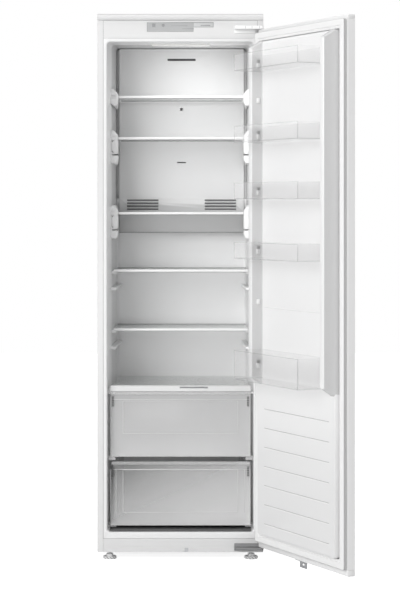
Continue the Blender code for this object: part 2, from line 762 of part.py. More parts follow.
def build_liner(plastic):
    """The moulded cabin with its front flange, shelf ribs, crisper ribs and drawer ledges."""
    bm = bmesh.new()
    add_cabin(bm, LINER_WALL)
    liner = place_mesh("inner_liner", bm, plastic)
    flange = blocks(
        (
            (GAP - WINDOW_HALF, FRONT, LINER_FLANGE_BOTTOM),
            (WINDOW_HALF - GAP, FRONT + LINER_FLANGE, LINER_FLANGE_TOP),
        )
    )
    combine(liner, flange, "UNION")
    cabin = bmesh.new()
    add_cabin(cabin, 0.0, -OVERRUN)
    combine(liner, cabin, "DIFFERENCE", CORNER_RADIUS, 3)
    ribs = bmesh.new()
    bury = LINER_WALL / 2
    ledges = []
    for shelf in LONG_SHELVES:
        top = SHELF_LEVELS[shelf] - GAP
        ledges.append((SHELF_TRIM_BACK + GAP, top))
        ledges.append((SPARE_RIB_FRONT, top - SPARE_RIB_DROP))
    for side in (-1, 1):
        for front, top in ledges:
            lows = (top - RIB_HEIGHT, top - RIB_HEIGHT)
            wall_block(ribs, side, (front, RIB_BACK), RIB_REACH, bury, lows, top)
        top = COVER_TRIM_BOTTOM - GAP
        depths = (COVER_TRIM_FRONT + COVER_TRIM_DEPTH / 2, RIB_BACK)
        lows = (top - RIB_HEIGHT, top - RIB_HEIGHT)
        wall_block(ribs, side, depths, COVER_RIB_REACH, bury, lows, top)
        top = LOWER_DRAWER_BOTTOM - GAP
        depths = (DRAWER_LEDGE_FRONT, HUMP_START - CORNER_RADIUS)
        lows = [floor_height(depth) - bury for depth in depths]
        wall_block(ribs, side, depths, DRAWER_LEDGE_REACH, bury, lows, top)
    combine(liner, ribs, "UNION")


def build_back(steel, black):
    """Back panel with a pressed field, and the condenser plate that stands on that field."""
    face = BACK - CONDENSER_ROOM
    panel = blocks(
        (
            (-INSIDE_HALF, face - BACK_SHEET, COMPRESSOR_ROOM_TOP),
            (INSIDE_HALF, face, TOP_INSIDE),
        )
    )
    sheet = place_mesh("back_panel", panel, steel)
    top = CONDENSER_BOTTOM + CONDENSER_PITCH * (CONDENSER_RUNS + 1)
    field = blocks(
        (
            (-HALF, face - PANEL_FIELD, COMPRESSOR_ROOM_TOP - OVERRUN),
            (HALF, face + OVERRUN, top + PANEL_STRIP_ROOM),
        )
    )
    combine(sheet, field, "DIFFERENCE")
    seat = face - PANEL_FIELD + GAP
    plate = face + GAP + CONDENSER_RETURN
    back_side = []
    for run in range(CONDENSER_RUNS):
        middle = CONDENSER_BOTTOM + CONDENSER_PITCH * (run + 1)
        for k in range(5):
            angle = math.pi * k / 4
            z = middle - CONDENSER_TUBE * math.cos(angle)
            bulge = CONDENSER_TUBE * math.sin(angle)
            back_side.append((plate + CONDENSER_SHEET + bulge, z))
    bottom = CONDENSER_BOTTOM
    outline = [(seat, bottom), (plate + CONDENSER_SHEET, bottom)]
    outline += back_side
    outline += [(plate + CONDENSER_SHEET, top), (seat, top)]
    outline += [(seat, top - CONDENSER_SHEET)]
    outline += [(plate, top - CONDENSER_SHEET), (plate, bottom + CONDENSER_SHEET)]
    outline += [(seat, bottom + CONDENSER_SHEET)]
    bm = bmesh.new()
    add_prism(bm, outline, "X", -CONDENSER_HALF, CONDENSER_HALF)
    place_mesh("condenser", bm, black)


def build_front_trims(plastic, display):
    """Lower front panel, control fascia with its display insert, and the curved trim along the top."""
    plinth = bmesh.new()
    y0 = FRONT
    profile = [
        (y0, 0.0),
        (y0 + PLINTH_THICK, 0.0),
        (y0 + PLINTH_THICK, PLINTH_TOP - PLINTH_THICK),
        (y0 + PLINTH_LIP, PLINTH_TOP - PLINTH_THICK),
        (y0 + PLINTH_LIP, PLINTH_TOP),
        (y0, PLINTH_TOP),
    ]
    add_prism(plinth, profile, "X", GAP - WINDOW_HALF, WINDOW_HALF - GAP)
    panel = place_mesh("lower_front_panel", plinth, plastic)
    notch = blocks(
        (
            (PLINTH_NOTCH_X - PLINTH_NOTCH_WIDTH / 2, y0 - OVERRUN, -OVERRUN),
            (PLINTH_NOTCH_X + PLINTH_NOTCH_WIDTH / 2, y0 + PLINTH_LIP, PLINTH_NOTCH_HEIGHT),
        )
    )
    combine(panel, notch, "DIFFERENCE")
    fascia = place_mesh(
        "control_fascia",
        blocks(
            (
                (GAP - WINDOW_HALF, FRONT, FASCIA_BOTTOM),
                (WINDOW_HALF - GAP, FRONT + FASCIA_THICK, TOP_INSIDE),
            )
        ),
        plastic,
    )
    pocket = bmesh.new()
    depth = FRONT - INSERT_PROUD + INSERT_THICK
    add_prism(pocket, insert_outline(GAP), "Y", FRONT - OVERRUN, depth + KEY_ROOM)
    combine(fascia, pocket, "DIFFERENCE")
    face = bmesh.new()
    add_prism(face, insert_outline(0.0), "Y", FRONT - INSERT_PROUD, depth)
    insert = place_mesh("display_insert", face, display)
    holes = bmesh.new()
    half = SQUARE_KEY_SIZE / 2 + GAP
    add_block(
        holes,
        (SQUARE_KEY_X - half, FRONT - OVERRUN, KEY_Z - half),
        (SQUARE_KEY_X + half, FRONT + OVERRUN, KEY_Z + half),
    )
    radius = ROUND_KEY_RADIUS + GAP
    add_turned(holes, [(radius, -OVERRUN), (radius, OVERRUN)], (ROUND_KEY_X, FRONT, KEY_Z), "Y")
    combine(insert, holes, "DIFFERENCE")
    build_top_trim(plastic)


def insert_outline(grow):
    """The display insert's outline: a strip along the top and a lower part that ends sooner."""
    corners = [
        (-INSERT_HALF, INSERT_BOTTOM),
        (INSERT_LOWER_RIGHT, INSERT_BOTTOM),
        (INSERT_LOWER_RIGHT, INSERT_SHOULDER),
        (INSERT_HALF, INSERT_SHOULDER),
        (INSERT_HALF, INSERT_TOP),
        (-INSERT_HALF, INSERT_TOP),
    ]
    return grown_outline(corners, grow) if grow else corners


def build_keys(plastic):
    """The square and the round key of the display, each set in its hole."""
    back = FRONT - KEY_PROUD + KEY_THICK
    half = SQUARE_KEY_SIZE / 2
    square = blocks(
        (
            (SQUARE_KEY_X - half, FRONT - KEY_PROUD, KEY_Z - half),
            (SQUARE_KEY_X + half, back, KEY_Z + half),
        )
    )
    soften(place_mesh("power_key", square, plastic), GAP, 1)
    bm = bmesh.new()
    profile = [
        (ROUND_KEY_RADIUS - GAP, -KEY_PROUD),
        (ROUND_KEY_RADIUS, GAP - KEY_PROUD),
        (ROUND_KEY_RADIUS, KEY_THICK - KEY_PROUD),
    ]
    add_turned(bm, profile, (ROUND_KEY_X, FRONT, KEY_Z), "Y")
    place_mesh("temperature_key", bm, plastic, smooth_degrees=40.0)


def build_top_trim(plastic):
    """The curved trim along the top front edge: a quarter round nose over a flat foot."""
    level = CASE_HEIGHT + GAP
    bottom = level - TRIM_SEAT
    top = level + TRIM_HEIGHT
    nose = []
    steps = 7
    for k in range(steps + 1):
        angle = math.pi / 2 * k / steps
        y = FRONT + TRIM_HEIGHT - (TRIM_HEIGHT + TRIM_OVERHANG) * math.cos(angle)
        z = top - TRIM_HEIGHT + TRIM_WALL + (TRIM_HEIGHT - TRIM_WALL) * math.sin(angle)
        nose.append((y, z))
    tail = [(FRONT + TRIM_DEPTH, level + TRIM_WALL), (FRONT + TRIM_DEPTH, bottom)]
    foot = [(FRONT - TRIM_OVERHANG, bottom)]
    bm = bmesh.new()
    add_prism(bm, nose + tail + foot, "X", -HALF, HALF)
    place_mesh("top_trim", bm, plastic)


def duct_outline(shrink=0.0, back=0.0):
    """The duct cover's side view as (depth, height) pairs: upper face, slanted band and lower box."""
    top = ceiling_height(DUCT_FACE) - DUCT_TOP_GAP
    rear = LINER_DEPTH - GAP
    shape = [
        (rear, DUCT_BOTTOM),
        (rear, top - CORNER_RADIUS),
        (rear - CORNER_RADIUS, top),
        (DUCT_FACE, top),
        (DUCT_FACE, DUCT_BAND_TOP),
        (DUCT_BOX_FACE, DUCT_BAND_BOTTOM),
        (DUCT_BOX_FACE, DUCT_BOTTOM),
    ]
    shape = grown_outline(shape, -shrink) if shrink else shape
    if back:
        low, high = shape[0], shape[1]
        shape = [(low[0] + back, low[1]), (high[0] + back, high[1])] + shape[1:]
    return shape


def build_duct(plastic):
    """The vented cover over the evaporator, moulded as one thin shell with slots through it."""
    bm = bmesh.new()
    outline = [(at_depth(d), z) for d, z in duct_outline()]
    add_prism(bm, outline, "X", -DUCT_HALF, DUCT_HALF)
    cover = place_mesh("air_duct_cover", bm, plastic)
    soften(cover, SEAM, 2)
    hollow = bmesh.new()
    outline = [(at_depth(d), z) for d, z in duct_outline(DUCT_WALL, OVERRUN)]
    add_prism(hollow, outline, "X", DUCT_WALL - DUCT_HALF, DUCT_HALF - DUCT_WALL)
    combine(cover, hollow, "DIFFERENCE")
    slots = bmesh.new()
    front = at_depth(DUCT_BOX_FACE - OVERRUN)
    rear = at_depth(DUCT_FACE + DUCT_WALL * 2)
    for side in (-1, 1):
        for row in range(VENT_COUNT):
            z = VENT_LOWEST + VENT_PITCH * row
            x = side * VENT_CENTRE
            add_slot(slots, x, z, VENT_HALF_WIDTH, VENT_HEIGHT, front, rear)
    add_slot(slots, 0, RETURN_SLOT_Z, RETURN_SLOT_HALF, RETURN_SLOT_HEIGHT, front, rear)
    add_slot(slots, 0, SMALL_SLOT_Z, SMALL_SLOT_HALF, SMALL_SLOT_HEIGHT, front, rear)
    add_slot(slots, 0, SENSOR_Z, SENSOR_SIZE / 2, SENSOR_SIZE, front, rear)
    combine(cover, slots, "DIFFERENCE")


def add_slot(bm, x, z, half_width, height, front, rear):
    """Adds a cutter for one slot with small rounded corners."""
    half = height / 2
    corners = [
        (x - half_width, z - half),
        (x + half_width, z - half),
        (x + half_width, z + half),
        (x - half_width, z + half),
    ]
    add_prism(bm, rounded_outline(corners, height / 4, 2), "Y", front, rear)


def build_evaporator(aluminium):
    """The finned evaporator: one comb of upright fins on a back plate, against the liner's back wall."""
    back = LINER_DEPTH - GAP
    pitch = EVAPORATOR_HALF * 2 / EVAPORATOR_FINS
    fin = pitch * FIN_SHARE
    outline = [(-EVAPORATOR_HALF, at_depth(back)), (-EVAPORATOR_HALF, at_depth(back - EVAPORATOR_BACKBONE))]
    valley = at_depth(back - EVAPORATOR_BACKBONE)
    tip = at_depth(back - EVAPORATOR_DEPTH)
    for k in range(EVAPORATOR_FINS):
        x = -EVAPORATOR_HALF + pitch * k + (pitch - fin) / 2
        outline += [(x, valley), (x, tip), (x + fin, tip), (x + fin, valley)]
    outline += [(EVAPORATOR_HALF, valley), (EVAPORATOR_HALF, at_depth(back))]
    bm = bmesh.new()
    add_prism(bm, outline, "Z", EVAPORATOR_BOTTOM, EVAPORATOR_TOP)
    place_mesh("evaporator", bm, aluminium)


def build_fan(plastic, black):
    """The circulation fan: a motor on three arms against the back wall, and a bladed rotor on its shaft."""
    back = at_depth(LINER_DEPTH - GAP)
    bm = bmesh.new()
    motor = [
        (MOTOR_RADIUS - SEAM, -MOTOR_DEPTH),
        (MOTOR_RADIUS, SEAM - MOTOR_DEPTH),
        (MOTOR_RADIUS, 0),
    ]
    add_turned(bm, motor, (0, back, FAN_Z), "Y")
    body = place_mesh("fan_motor", bm, black)
    arms = bmesh.new()
    for k in range(3):
        turn = Matrix.Translation((0, back, FAN_Z)) @ Matrix.Rotation(math.tau * k / 3, 4, "Y")
        verts = add_block(
            arms,
            (MOTOR_RADIUS / 2, -MOTOR_ARM_THICK, -MOTOR_ARM_WIDTH / 2),
            (MOTOR_ARM_REACH, 0, MOTOR_ARM_WIDTH / 2),
        )
        bmesh.ops.transform(arms, matrix=turn, verts=verts)
    hub = bmesh.new()
    for tool in (arms, hub):
        if tool is hub:
            shaft = [(SHAFT_RADIUS, -MOTOR_DEPTH - SHAFT_LENGTH), (SHAFT_RADIUS, -MOTOR_DEPTH / 2)]
            add_turned(hub, shaft, (0, back, FAN_Z), "Y", ROUND_SIDES // 2)
        combine(body, tool, "UNION")
    centre = (0, back - MOTOR_DEPTH - GAP - FAN_DEPTH, FAN_Z)
    rotor_mesh = bmesh.new()
    profile = [(FAN_HUB_RADIUS - SEAM, 0), (FAN_HUB_RADIUS, SEAM), (FAN_HUB_RADIUS, FAN_DEPTH)]
    add_turned(rotor_mesh, profile, (0, 0, 0), "Y")
    rotor = place_mesh("evaporator_fan", rotor_mesh, plastic)
    rotor.location = centre
    for k in range(FAN_BLADES):
        blade = bmesh.new()
        add_blade(blade, math.tau * k / FAN_BLADES)
        combine(rotor, blade, "UNION")
    bore = bmesh.new()
    radius = SHAFT_RADIUS + GAP
    add_turned(bore, [(radius, SEAM), (radius, OVERRUN)], (0, 0, 0), "Y", ROUND_SIDES // 2)
    combine(rotor, bore, "DIFFERENCE")
    for tool in [o for o in bpy.data.objects if o.name.startswith("evaporator_fan_tool")]:
        tool.location = centre


def add_blade(bm, angle):
    """Adds one pitched fan blade whose root is buried in the hub."""
    rings = []
    root = FAN_HUB_RADIUS * BLADE_ROOT_SHARE
    full_pitch = math.radians(FAN_PITCH_DEGREES)
    for share in BLADE_STATION_SHARES:
        radius = root + (FAN_RADIUS - root) * share
        half_width = FAN_DEPTH * (BLADE_ROOT_WIDTH_SHARE + share) / 2
        pitch = full_pitch * (BLADE_ROOT_PITCH_SHARE - BLADE_TWIST_SHARE * share)
        ring = []
        for across, off in ((-1, -1), (1, -1), (1, 1), (-1, 1)):
            lie = across * half_width
            rise = off * FAN_BLADE_THICK / 2
            tangent = lie * math.cos(pitch) - rise * math.sin(pitch)
            y = FAN_DEPTH / 2 + lie * math.sin(pitch) + rise * math.cos(pitch)
            x = radius * math.cos(angle) - tangent * math.sin(angle)
            z = radius * math.sin(angle) + tangent * math.cos(angle)
            ring.append((x, y, z))
        rings.append(ring)
    add_loft(bm, rings)


def build_lamp(lens):
    """The lamp's lens, a shallow bar under the ceiling."""
    rings = []
    for depth in (LAMP_FRONT, LAMP_FRONT + LAMP_DEPTH):
        top = ceiling_height(depth) - GAP
        y = at_depth(depth)
        rings.append(
            [
                (-LAMP_HALF, y, top),
                (LAMP_HALF, y, top),
                (LAMP_HALF - LAMP_DROP, y, top - LAMP_DROP),
                (LAMP_DROP - LAMP_HALF, y, top - LAMP_DROP),
            ]
        )
    bm = bmesh.new()
    add_loft(bm, rings)
    place_mesh("ceiling_lamp", bm, lens)


def support_outline(levels):
    """A shelf support seen from the front: (reach from the wall, height over the top pane's underside)."""
    room = GLASS_THICK + GAP * 2
    points = [(0.0, SUPPORT_HEAD)]
    for reach_share, head_share in (SUPPORT_SHOULDER_SHARES, SUPPORT_CHEEK_SHARES):
        points.append((SUPPORT_REACH * reach_share, SUPPORT_HEAD * head_share))
    for level in range(levels):
        base = -SUPPORT_GROOVE_SPACING * level
        points += [
            (SUPPORT_REACH, base + room + LEDGE_THICK / 2),
            (SUPPORT_REACH, base + room - GAP),
            (SUPPORT_PLATE, base + room - GAP),
            (SUPPORT_PLATE, base - GAP),
            (SUPPORT_REACH, base - GAP),
            (SUPPORT_REACH, base - GAP - LEDGE_THICK),
        ]
        if level + 1 < levels:
            waist = SUPPORT_REACH * SUPPORT_WAIST_SHARE
            points.append((waist, base - SUPPORT_GROOVE_SPACING / 2))
    base = -SUPPORT_GROOVE_SPACING * (levels - 1)
    points.append((SUPPORT_REACH * SUPPORT_WAIST_SHARE, base - SUPPORT_FOOT * SUPPORT_TOE_SHARE))
    points.append((0.0, base - SUPPORT_FOOT))
    return points


def build_supports(plastic):
    """Three pairs of side supports: each a ribbed rail whose grooves hold a pane's edge."""
    for shelf, levels in SUPPORT_LEVELS.items():
        for side_name, side in (("left", -1), ("right", 1)):
            rings = []
            stations = [
                (SUPPORT_FRONT + SUPPORT_NOSE * along_share, reach_share)
                for along_share, reach_share in SUPPORT_NOSE_SHARES
            ]
            stations.append((SUPPORT_BACK, 1.0))
            for depth, reach_share in stations:
                wall = cabin_half(depth) - GAP
                ring = []
                for reach, height in support_outline(levels):
                    reach = max(min(reach, SUPPORT_PLATE), reach * reach_share)
                    z = SHELF_LEVELS[shelf] + height
                    ring.append((side * (wall - reach), at_depth(depth), z))
                rings.append(ring)
            bm = bmesh.new()
            add_loft(bm, rings)
            place_mesh(f"shelf_support_{shelf}_{side_name}", bm, plastic)


def build_shelves(glass, plastic):
    """Five glass panes, each gripped along its front by a rounded trim."""
    for shelf, level in SHELF_LEVELS.items():
        back = LONG_SHELF_BACK if shelf in LONG_SHELVES else SHORT_SHELF_BACK
        pane = blocks(
            (
                (-GLASS_HALF, at_depth(GLASS_FRONT), level),
                (GLASS_HALF, at_depth(back), level + GLASS_THICK),
            )
        )
        place_mesh(f"glass_shelf_{shelf}", pane, glass)
        middle = level + GLASS_THICK / 2
        bm = bmesh.new()
        outline = trim_outline(
            middle, SHELF_TRIM_HEIGHT, SHELF_TRIM_FRONT, SHELF_TRIM_BACK, GLASS_FRONT
        )
        half = SHELF_TRIM_HALF
        if shelf in SUPPORT_LEVELS:
            half = cabin_half(SHELF_TRIM_BACK) - SUPPORT_REACH - GAP * 2
        add_prism(bm, outline, "X", -half, half)
        place_mesh(f"shelf_trim_{shelf}", bm, plastic)


def trim_outline(middle, height, front, back, glass_front):
    """A trim's section: a rounded nose in front and two lips that grip the pane."""
    half = height / 2
    nose = half * TRIM_NOSE_SHARE
    groove = GLASS_THICK / 2 + GAP
    points = []
    steps = 4
    for k in range(steps + 1):
        angle = math.pi / 2 * k / steps
        y = at_depth(front) + nose * (1 - math.sin(angle))
        points.append((y, middle + half - nose * (1 - math.cos(angle))))
    points = points[::-1]
    lower = [(y, 2 * middle - z) for y, z in points]
    upper = points[::-1]
    lip = [
        (at_depth(back), middle + half),
        (at_depth(back), middle + groove),
        (at_depth(glass_front) - GAP, middle + groove),
        (at_depth(glass_front) - GAP, middle - groove),
        (at_depth(back), middle - groove),
        (at_depth(back), middle - half),
    ]
    return upper[::-1] + lip + lower[::-1]


def build_cover(glass, plastic, dark):
    """The crisper cover: a pane over both drawers, its deep front trim and the humidity slider."""
    pane = blocks(
        (
            (-GLASS_HALF, at_depth(COVER_GLASS_FRONT), COVER_GLASS_UNDER),
            (GLASS_HALF, at_depth(LONG_SHELF_BACK), COVER_GLASS_UNDER + GLASS_THICK),
        )
    )
    place_mesh("crisper_cover", pane, glass)
    front = at_depth(COVER_TRIM_FRONT)
    bm = bmesh.new()
    groove_low = COVER_GLASS_UNDER - GAP
    groove_high = COVER_GLASS_UNDER + GLASS_THICK + GAP
    tail = front + COVER_TRIM_DEPTH
    outline = [
        (front, COVER_TRIM_BOTTOM + SEAM),
        (front + SEAM, COVER_TRIM_BOTTOM),
        (tail, COVER_TRIM_BOTTOM),
        (tail, groove_low),
        (at_depth(COVER_GLASS_FRONT) - GAP, groove_low),
        (at_depth(COVER_GLASS_FRONT) - GAP, groove_high),
        (tail, groove_high),
        (tail, COVER_TRIM_TOP),
        (front + SEAM * 2, COVER_TRIM_TOP),
        (front, COVER_TRIM_TOP - SEAM * 2),
    ]
    add_prism(bm, outline, "X", -COVER_HALF, COVER_HALF)
    trim = place_mesh("crisper_cover_trim", bm, plastic)
    half = VENT_SLOT_HEIGHT / 2
    slot = blocks(
        (
            (VENT_SLOT_LEFT, front - OVERRUN, VENT_SLOT_Z - half),
            (VENT_SLOT_RIGHT, front + VENT_SLOT_DEPTH, VENT_SLOT_Z + half),
        )
    )
    combine(trim, slot, "DIFFERENCE")
    right = VENT_SLOT_RIGHT - GAP
    knob = blocks(
        (
            (right - SLIDER_WIDTH, front - SLIDER_PROUD, VENT_SLOT_Z - half + GAP),
            (right, front + VENT_SLOT_DEPTH - GAP, VENT_SLOT_Z + half - GAP),
        )
    )
    soften(place_mesh("humidity_slider", knob, dark), GAP * 2, 2)


def build_drawer(name, plastic, bottom, body_top, front_top, back):
    """A clear drawer: drafted tub with a rim, and a wider front plate with a curled grip along its top."""
    front = at_depth(DRAWER_FRONT)
    rings = []
    for z, draw in ((bottom, DRAWER_DRAFT), (body_top, 0.0)):
        half = DRAWER_BODY_HALF - draw
        rings.append(
            [
                (-half, front, z),
                (half, front, z),
                (half, at_depth(back) - draw, z),
                (-half, at_depth(back) - draw, z),
            ]
        )
    bm = bmesh.new()
    add_loft(bm, rings)
    drawer = place_mesh(name, bm, plastic)
    plate = bmesh.new()
    thick = DRAWER_WALL
    add_block(
        plate, (-DRAWER_FRONT_HALF, front, bottom), (DRAWER_FRONT_HALF, front + thick, front_top)
    )
    combine(drawer, plate, "UNION")
    grip = bmesh.new()
    reach = DRAWER_GRIP_REACH
    outline = [
        (front + thick / 2, front_top),
        (front - reach * GRIP_SHOULDER_SHARE, front_top),
        (front - reach, front_top - reach * GRIP_BROW_SHARE),
        (front - reach, front_top - DRAWER_GRIP_HEIGHT),
        (front - reach + thick, front_top - DRAWER_GRIP_HEIGHT),
        (front - reach + thick, front_top - reach * GRIP_SHOULDER_SHARE),
        (front - reach * GRIP_THROAT_SHARE, front_top - thick),
        (front + thick / 2, front_top - thick),
    ]
    half = DRAWER_FRONT_HALF - DRAWER_RIM
    add_prism(grip, outline, "X", -half, half)
    combine(drawer, grip, "UNION")
    hollow = bmesh.new()
    rings = []
    for z, draw in ((bottom + thick, DRAWER_DRAFT), (body_top + OVERRUN, 0.0)):
        half = DRAWER_BODY_HALF - draw - thick
        rings.append(
            [
                (-half, front + thick, z),
                (half, front + thick, z),
                (half, at_depth(back) - draw - thick, z),
                (-half, at_depth(back) - draw - thick, z),
            ]
        )
    add_loft(hollow, rings)
    combine(drawer, hollow, "DIFFERENCE")


def build_runners(plastic):
    """The pair of runner rails that the upper drawer slides on, hooked on the side walls."""
    top = UPPER_DRAWER_BOTTOM - GAP
    for name, side in (("left", -1), ("right", 1)):
        rings = []
        for depth in (RUNNER_FRONT, RUNNER_BACK):
            wall = cabin_half(depth) - GAP
            y = at_depth(depth)
            section = (
                (0.0, top - RUNNER_HEIGHT),
                (RUNNER_WEB, top - RUNNER_HEIGHT),
                (RUNNER_WEB, top - RUNNER_WEB),
                (RUNNER_REACH - RUNNER_WEB, top - RUNNER_WEB),
                (RUNNER_REACH - RUNNER_WEB, top - RUNNER_HEIGHT),
                (RUNNER_REACH, top - RUNNER_HEIGHT),
                (RUNNER_REACH, top),
                (0.0, top),
            )
            rings.append([(side * (wall - reach), y, z) for reach, z in section])
        bm = bmesh.new()
        add_loft(bm, rings)
        place_mesh(f"drawer_runner_{name}", bm, plastic)


def build_compressor(black, plastic):
    """The hermetic compressor on its foot plate and rubber-like feet, with the drip tray on top."""
    x0 = 0.0
    y0 = BACK - COMPRESSOR_ROOM_DEPTH / 2
    floor = TRAY_FLOOR + GAP
    shell_bottom = floor + COMPRESSOR_FOOT_HEIGHT
    profile = []
    steps = 10
    for k in range(steps + 1):
        angle = math.pi * k / steps - math.pi / 2
        radius = max(math.cos(angle), 0.0) ** DOME_SQUARENESS_SHARE
        height = (math.sin(angle) + 1) / 2
        profile.append((max(radius, DOME_CAP_SHARE), height * COMPRESSOR_HEIGHT))
    bm = bmesh.new()
    add_turned(bm, profile, (0, 0, 0))
    stretch = Matrix.Diagonal((COMPRESSOR_HALF_WIDTH, COMPRESSOR_HALF_DEPTH, 1, 1))
    bmesh.ops.transform(bm, matrix=Matrix.Translation((x0, y0, shell_bottom)) @ stretch, verts=bm.verts)
    shell = place_mesh("compressor", bm, black, smooth_degrees=40.0)
    belt_z = shell_bottom + COMPRESSOR_HEIGHT / 2
    belt = bmesh.new()
    half = COMPRESSOR_SEAM / 2
    add_turned(belt, [(1, -half), (1, half)], (0, 0, 0))
    proud = COMPRESSOR_SEAM
    size = Matrix.Diagonal((COMPRESSOR_HALF_WIDTH + proud, COMPRESSOR_HALF_DEPTH + proud, 1, 1))
    bmesh.ops.transform(belt, matrix=Matrix.Translation((x0, y0, belt_z)) @ size, verts=belt.verts)
    combine(shell, belt, "UNION")
    plate = blocks(
        (
            (x0 - COMPRESSOR_HALF_WIDTH, y0 - COMPRESSOR_HALF_DEPTH, shell_bottom),
            (
                x0 + COMPRESSOR_HALF_WIDTH,
                y0 + COMPRESSOR_HALF_DEPTH,
                shell_bottom + COMPRESSOR_PLATE_THICK,
            ),
        )
    )
    combine(shell, plate, "UNION")
    feet = bmesh.new()
    for sx in (-1, 1):
        for sy in (-1, 1):
            x = x0 + sx * (COMPRESSOR_HALF_WIDTH - COMPRESSOR_FOOT_RADIUS)
            y = y0 + sy * (COMPRESSOR_HALF_DEPTH - COMPRESSOR_FOOT_RADIUS)
            profile = [
                (COMPRESSOR_FOOT_RADIUS, floor),
                (COMPRESSOR_FOOT_RADIUS, shell_bottom + COMPRESSOR_PLATE_THICK / 2),
            ]
            add_turned(feet, profile, (x, y, 0), sides=ROUND_SIDES // 2)
    combine(shell, feet, "UNION")
    tray_floor = shell_bottom + COMPRESSOR_HEIGHT + GAP
    top = tray_floor + DRIP_TRAY_HEIGHT
    wide = DRIP_TRAY_HALF_WIDTH
    deep = DRIP_TRAY_HALF_DEPTH
    tray = place_mesh(
        "drip_tray",
        blocks(((x0 - wide, y0 - deep, tray_floor), (x0 + wide, y0 + deep, top))),
        plastic,
    )
    soften(tray, SEAM * 2, 1)
    wall = DRIP_TRAY_WALL
    inside = blocks(
        (
            (x0 - wide + wall, y0 - deep + wall, tray_floor + wall),
            (x0 + wide - wall, y0 + deep - wall, top + OVERRUN),
        )
    )
    combine(tray, inside, "DIFFERENCE")


def hinge_leaf_outline():
    """A hinge leaf seen from above: a strip along the front with a round nose about the pin."""
    front = FRONT - HINGE_LEAF_REACH
    right = HINGE_X + HINGE_NOSE_RADIUS
    corners = [
        (HINGE_LEFT, FRONT - GAP),
        (HINGE_LEFT, front + HINGE_NOSE_RADIUS),
        (HINGE_LEFT + HINGE_NOSE_RADIUS, front),
        (right - HINGE_NOSE_RADIUS, front),
        (right, front + HINGE_NOSE_RADIUS),
        (right, FRONT - GAP),
    ]
    return corners


def build_hinges(steel, dark):
    """Top and bottom hinge: a leaf with a folded flange on the cabinet front and a riveted pin."""
    right = HINGE_X + HINGE_NOSE_RADIUS
    levels = (
        ("top_hinge", steel, TOP_LEAF_BOTTOM, TOP_LEAF_TOP, TOP_FLANGE_BOTTOM, TOP_LEAF_TOP,
         TOP_LEAF_BOTTOM - TOP_PIN_LENGTH, TOP_LEAF_BOTTOM + SEAM),
        ("bottom_hinge", dark, BOTTOM_LEAF_TOP - BOTTOM_LEAF_THICK, BOTTOM_LEAF_TOP,
         BOTTOM_FLANGE_BOTTOM, BOTTOM_FLANGE_TOP,
         BOTTOM_LEAF_TOP - SEAM, BOTTOM_LEAF_TOP + BOTTOM_PIN_LENGTH),
    )
    for name, finish, leaf_low, leaf_high, flange_low, flange_high, pin_low, pin_high in levels:
        bm = bmesh.new()
        add_prism(bm, hinge_leaf_outline(), "Z", leaf_low, leaf_high)
        hinge = place_mesh(name, bm, finish)
        flange = blocks(
            (
                (HINGE_LEFT, FRONT - HINGE_FLANGE_THICK - GAP, flange_low),
                (right, FRONT - GAP, flange_high),
            )
        )
        combine(hinge, flange, "UNION")
        pin = bmesh.new()
        add_turned(pin, [(PIN_RADIUS, pin_low), (PIN_RADIUS, pin_high)], (HINGE_X, HINGE_Y, 0))
        combine(hinge, pin, "UNION")


def build_door_shell(axis, steel, plastic, foam, rubber):
    """Door panel with pressed seats for its brackets, end caps, foam core and gasket."""
    low = DOOR_BOTTOM + BOTTOM_CAP_HEIGHT + GAP
    high = DOOR_TOP - TOP_CAP_HEIGHT - GAP
    left = DOOR_FREE_EDGE
    right = DOOR_HINGE_EDGE
    t = DOOR_SHEET
    section = [
        (left, DOOR_OUTER),
        (right, DOOR_OUTER),
        (right, DOOR_INNER),
        (right - DOOR_LIP, DOOR_INNER),
        (right - DOOR_LIP, DOOR_INNER - t),
        (right - t, DOOR_INNER - t),
        (right - t, DOOR_OUTER + t),
        (left + t, DOOR_OUTER + t),
        (left + t, DOOR_INNER - t),
        (left + DOOR_LIP, DOOR_INNER - t),
        (left + DOOR_LIP, DOOR_INNER),
        (left, DOOR_INNER),
    ]
    bm = bmesh.new()
    add_prism(bm, section, "Z", low, high)
    panel = place_mesh("door_panel", bm, steel, axis)
    seats = bmesh.new()
    bracket_left = left + BRACKET_EDGE_INSET
    half = BRACKET_HEIGHT / 2 + GAP
    for z in BRACKET_CENTRES.values():
        add_block(
            seats,
            (bracket_left - GAP, DOOR_OUTER - OVERRUN, z - half),
            (bracket_left + BRACKET_WIDTH + GAP, DOOR_OUTER + BRACKET_SEAT, z + half),
        )
    combine(panel, seats, "DIFFERENCE")
    caps = (
        ("door_bottom_cap", DOOR_BOTTOM, DOOR_BOTTOM + BOTTOM_CAP_HEIGHT, BOTTOM_PIN_LENGTH),
        ("door_top_cap", DOOR_TOP - TOP_CAP_HEIGHT, DOOR_TOP, TOP_PIN_LENGTH),
    )
    for name, z0, z1, pin_length in caps:
        cap = place_mesh(
            name, blocks(((left, DOOR_OUTER, z0), (right, DOOR_INNER, z1))), plastic, axis
        )
        soften(cap, SEAM, 2)
        hole = bmesh.new()
        radius = PIN_RADIUS + PIN_ROOM
        if z0 == DOOR_BOTTOM:
            ends = (z0 - OVERRUN, BOTTOM_LEAF_TOP + pin_length + SEAM)
        else:
            ends = (TOP_LEAF_BOTTOM - pin_length - SEAM, z1 + OVERRUN)
        add_turned(hole, [(radius, ends[0]), (radius, ends[1])], (0, 0, 0))
        combine(cap, hole, "DIFFERENCE")
    build_door_foam(axis, foam, low, high)
    build_gasket(axis, rubber)


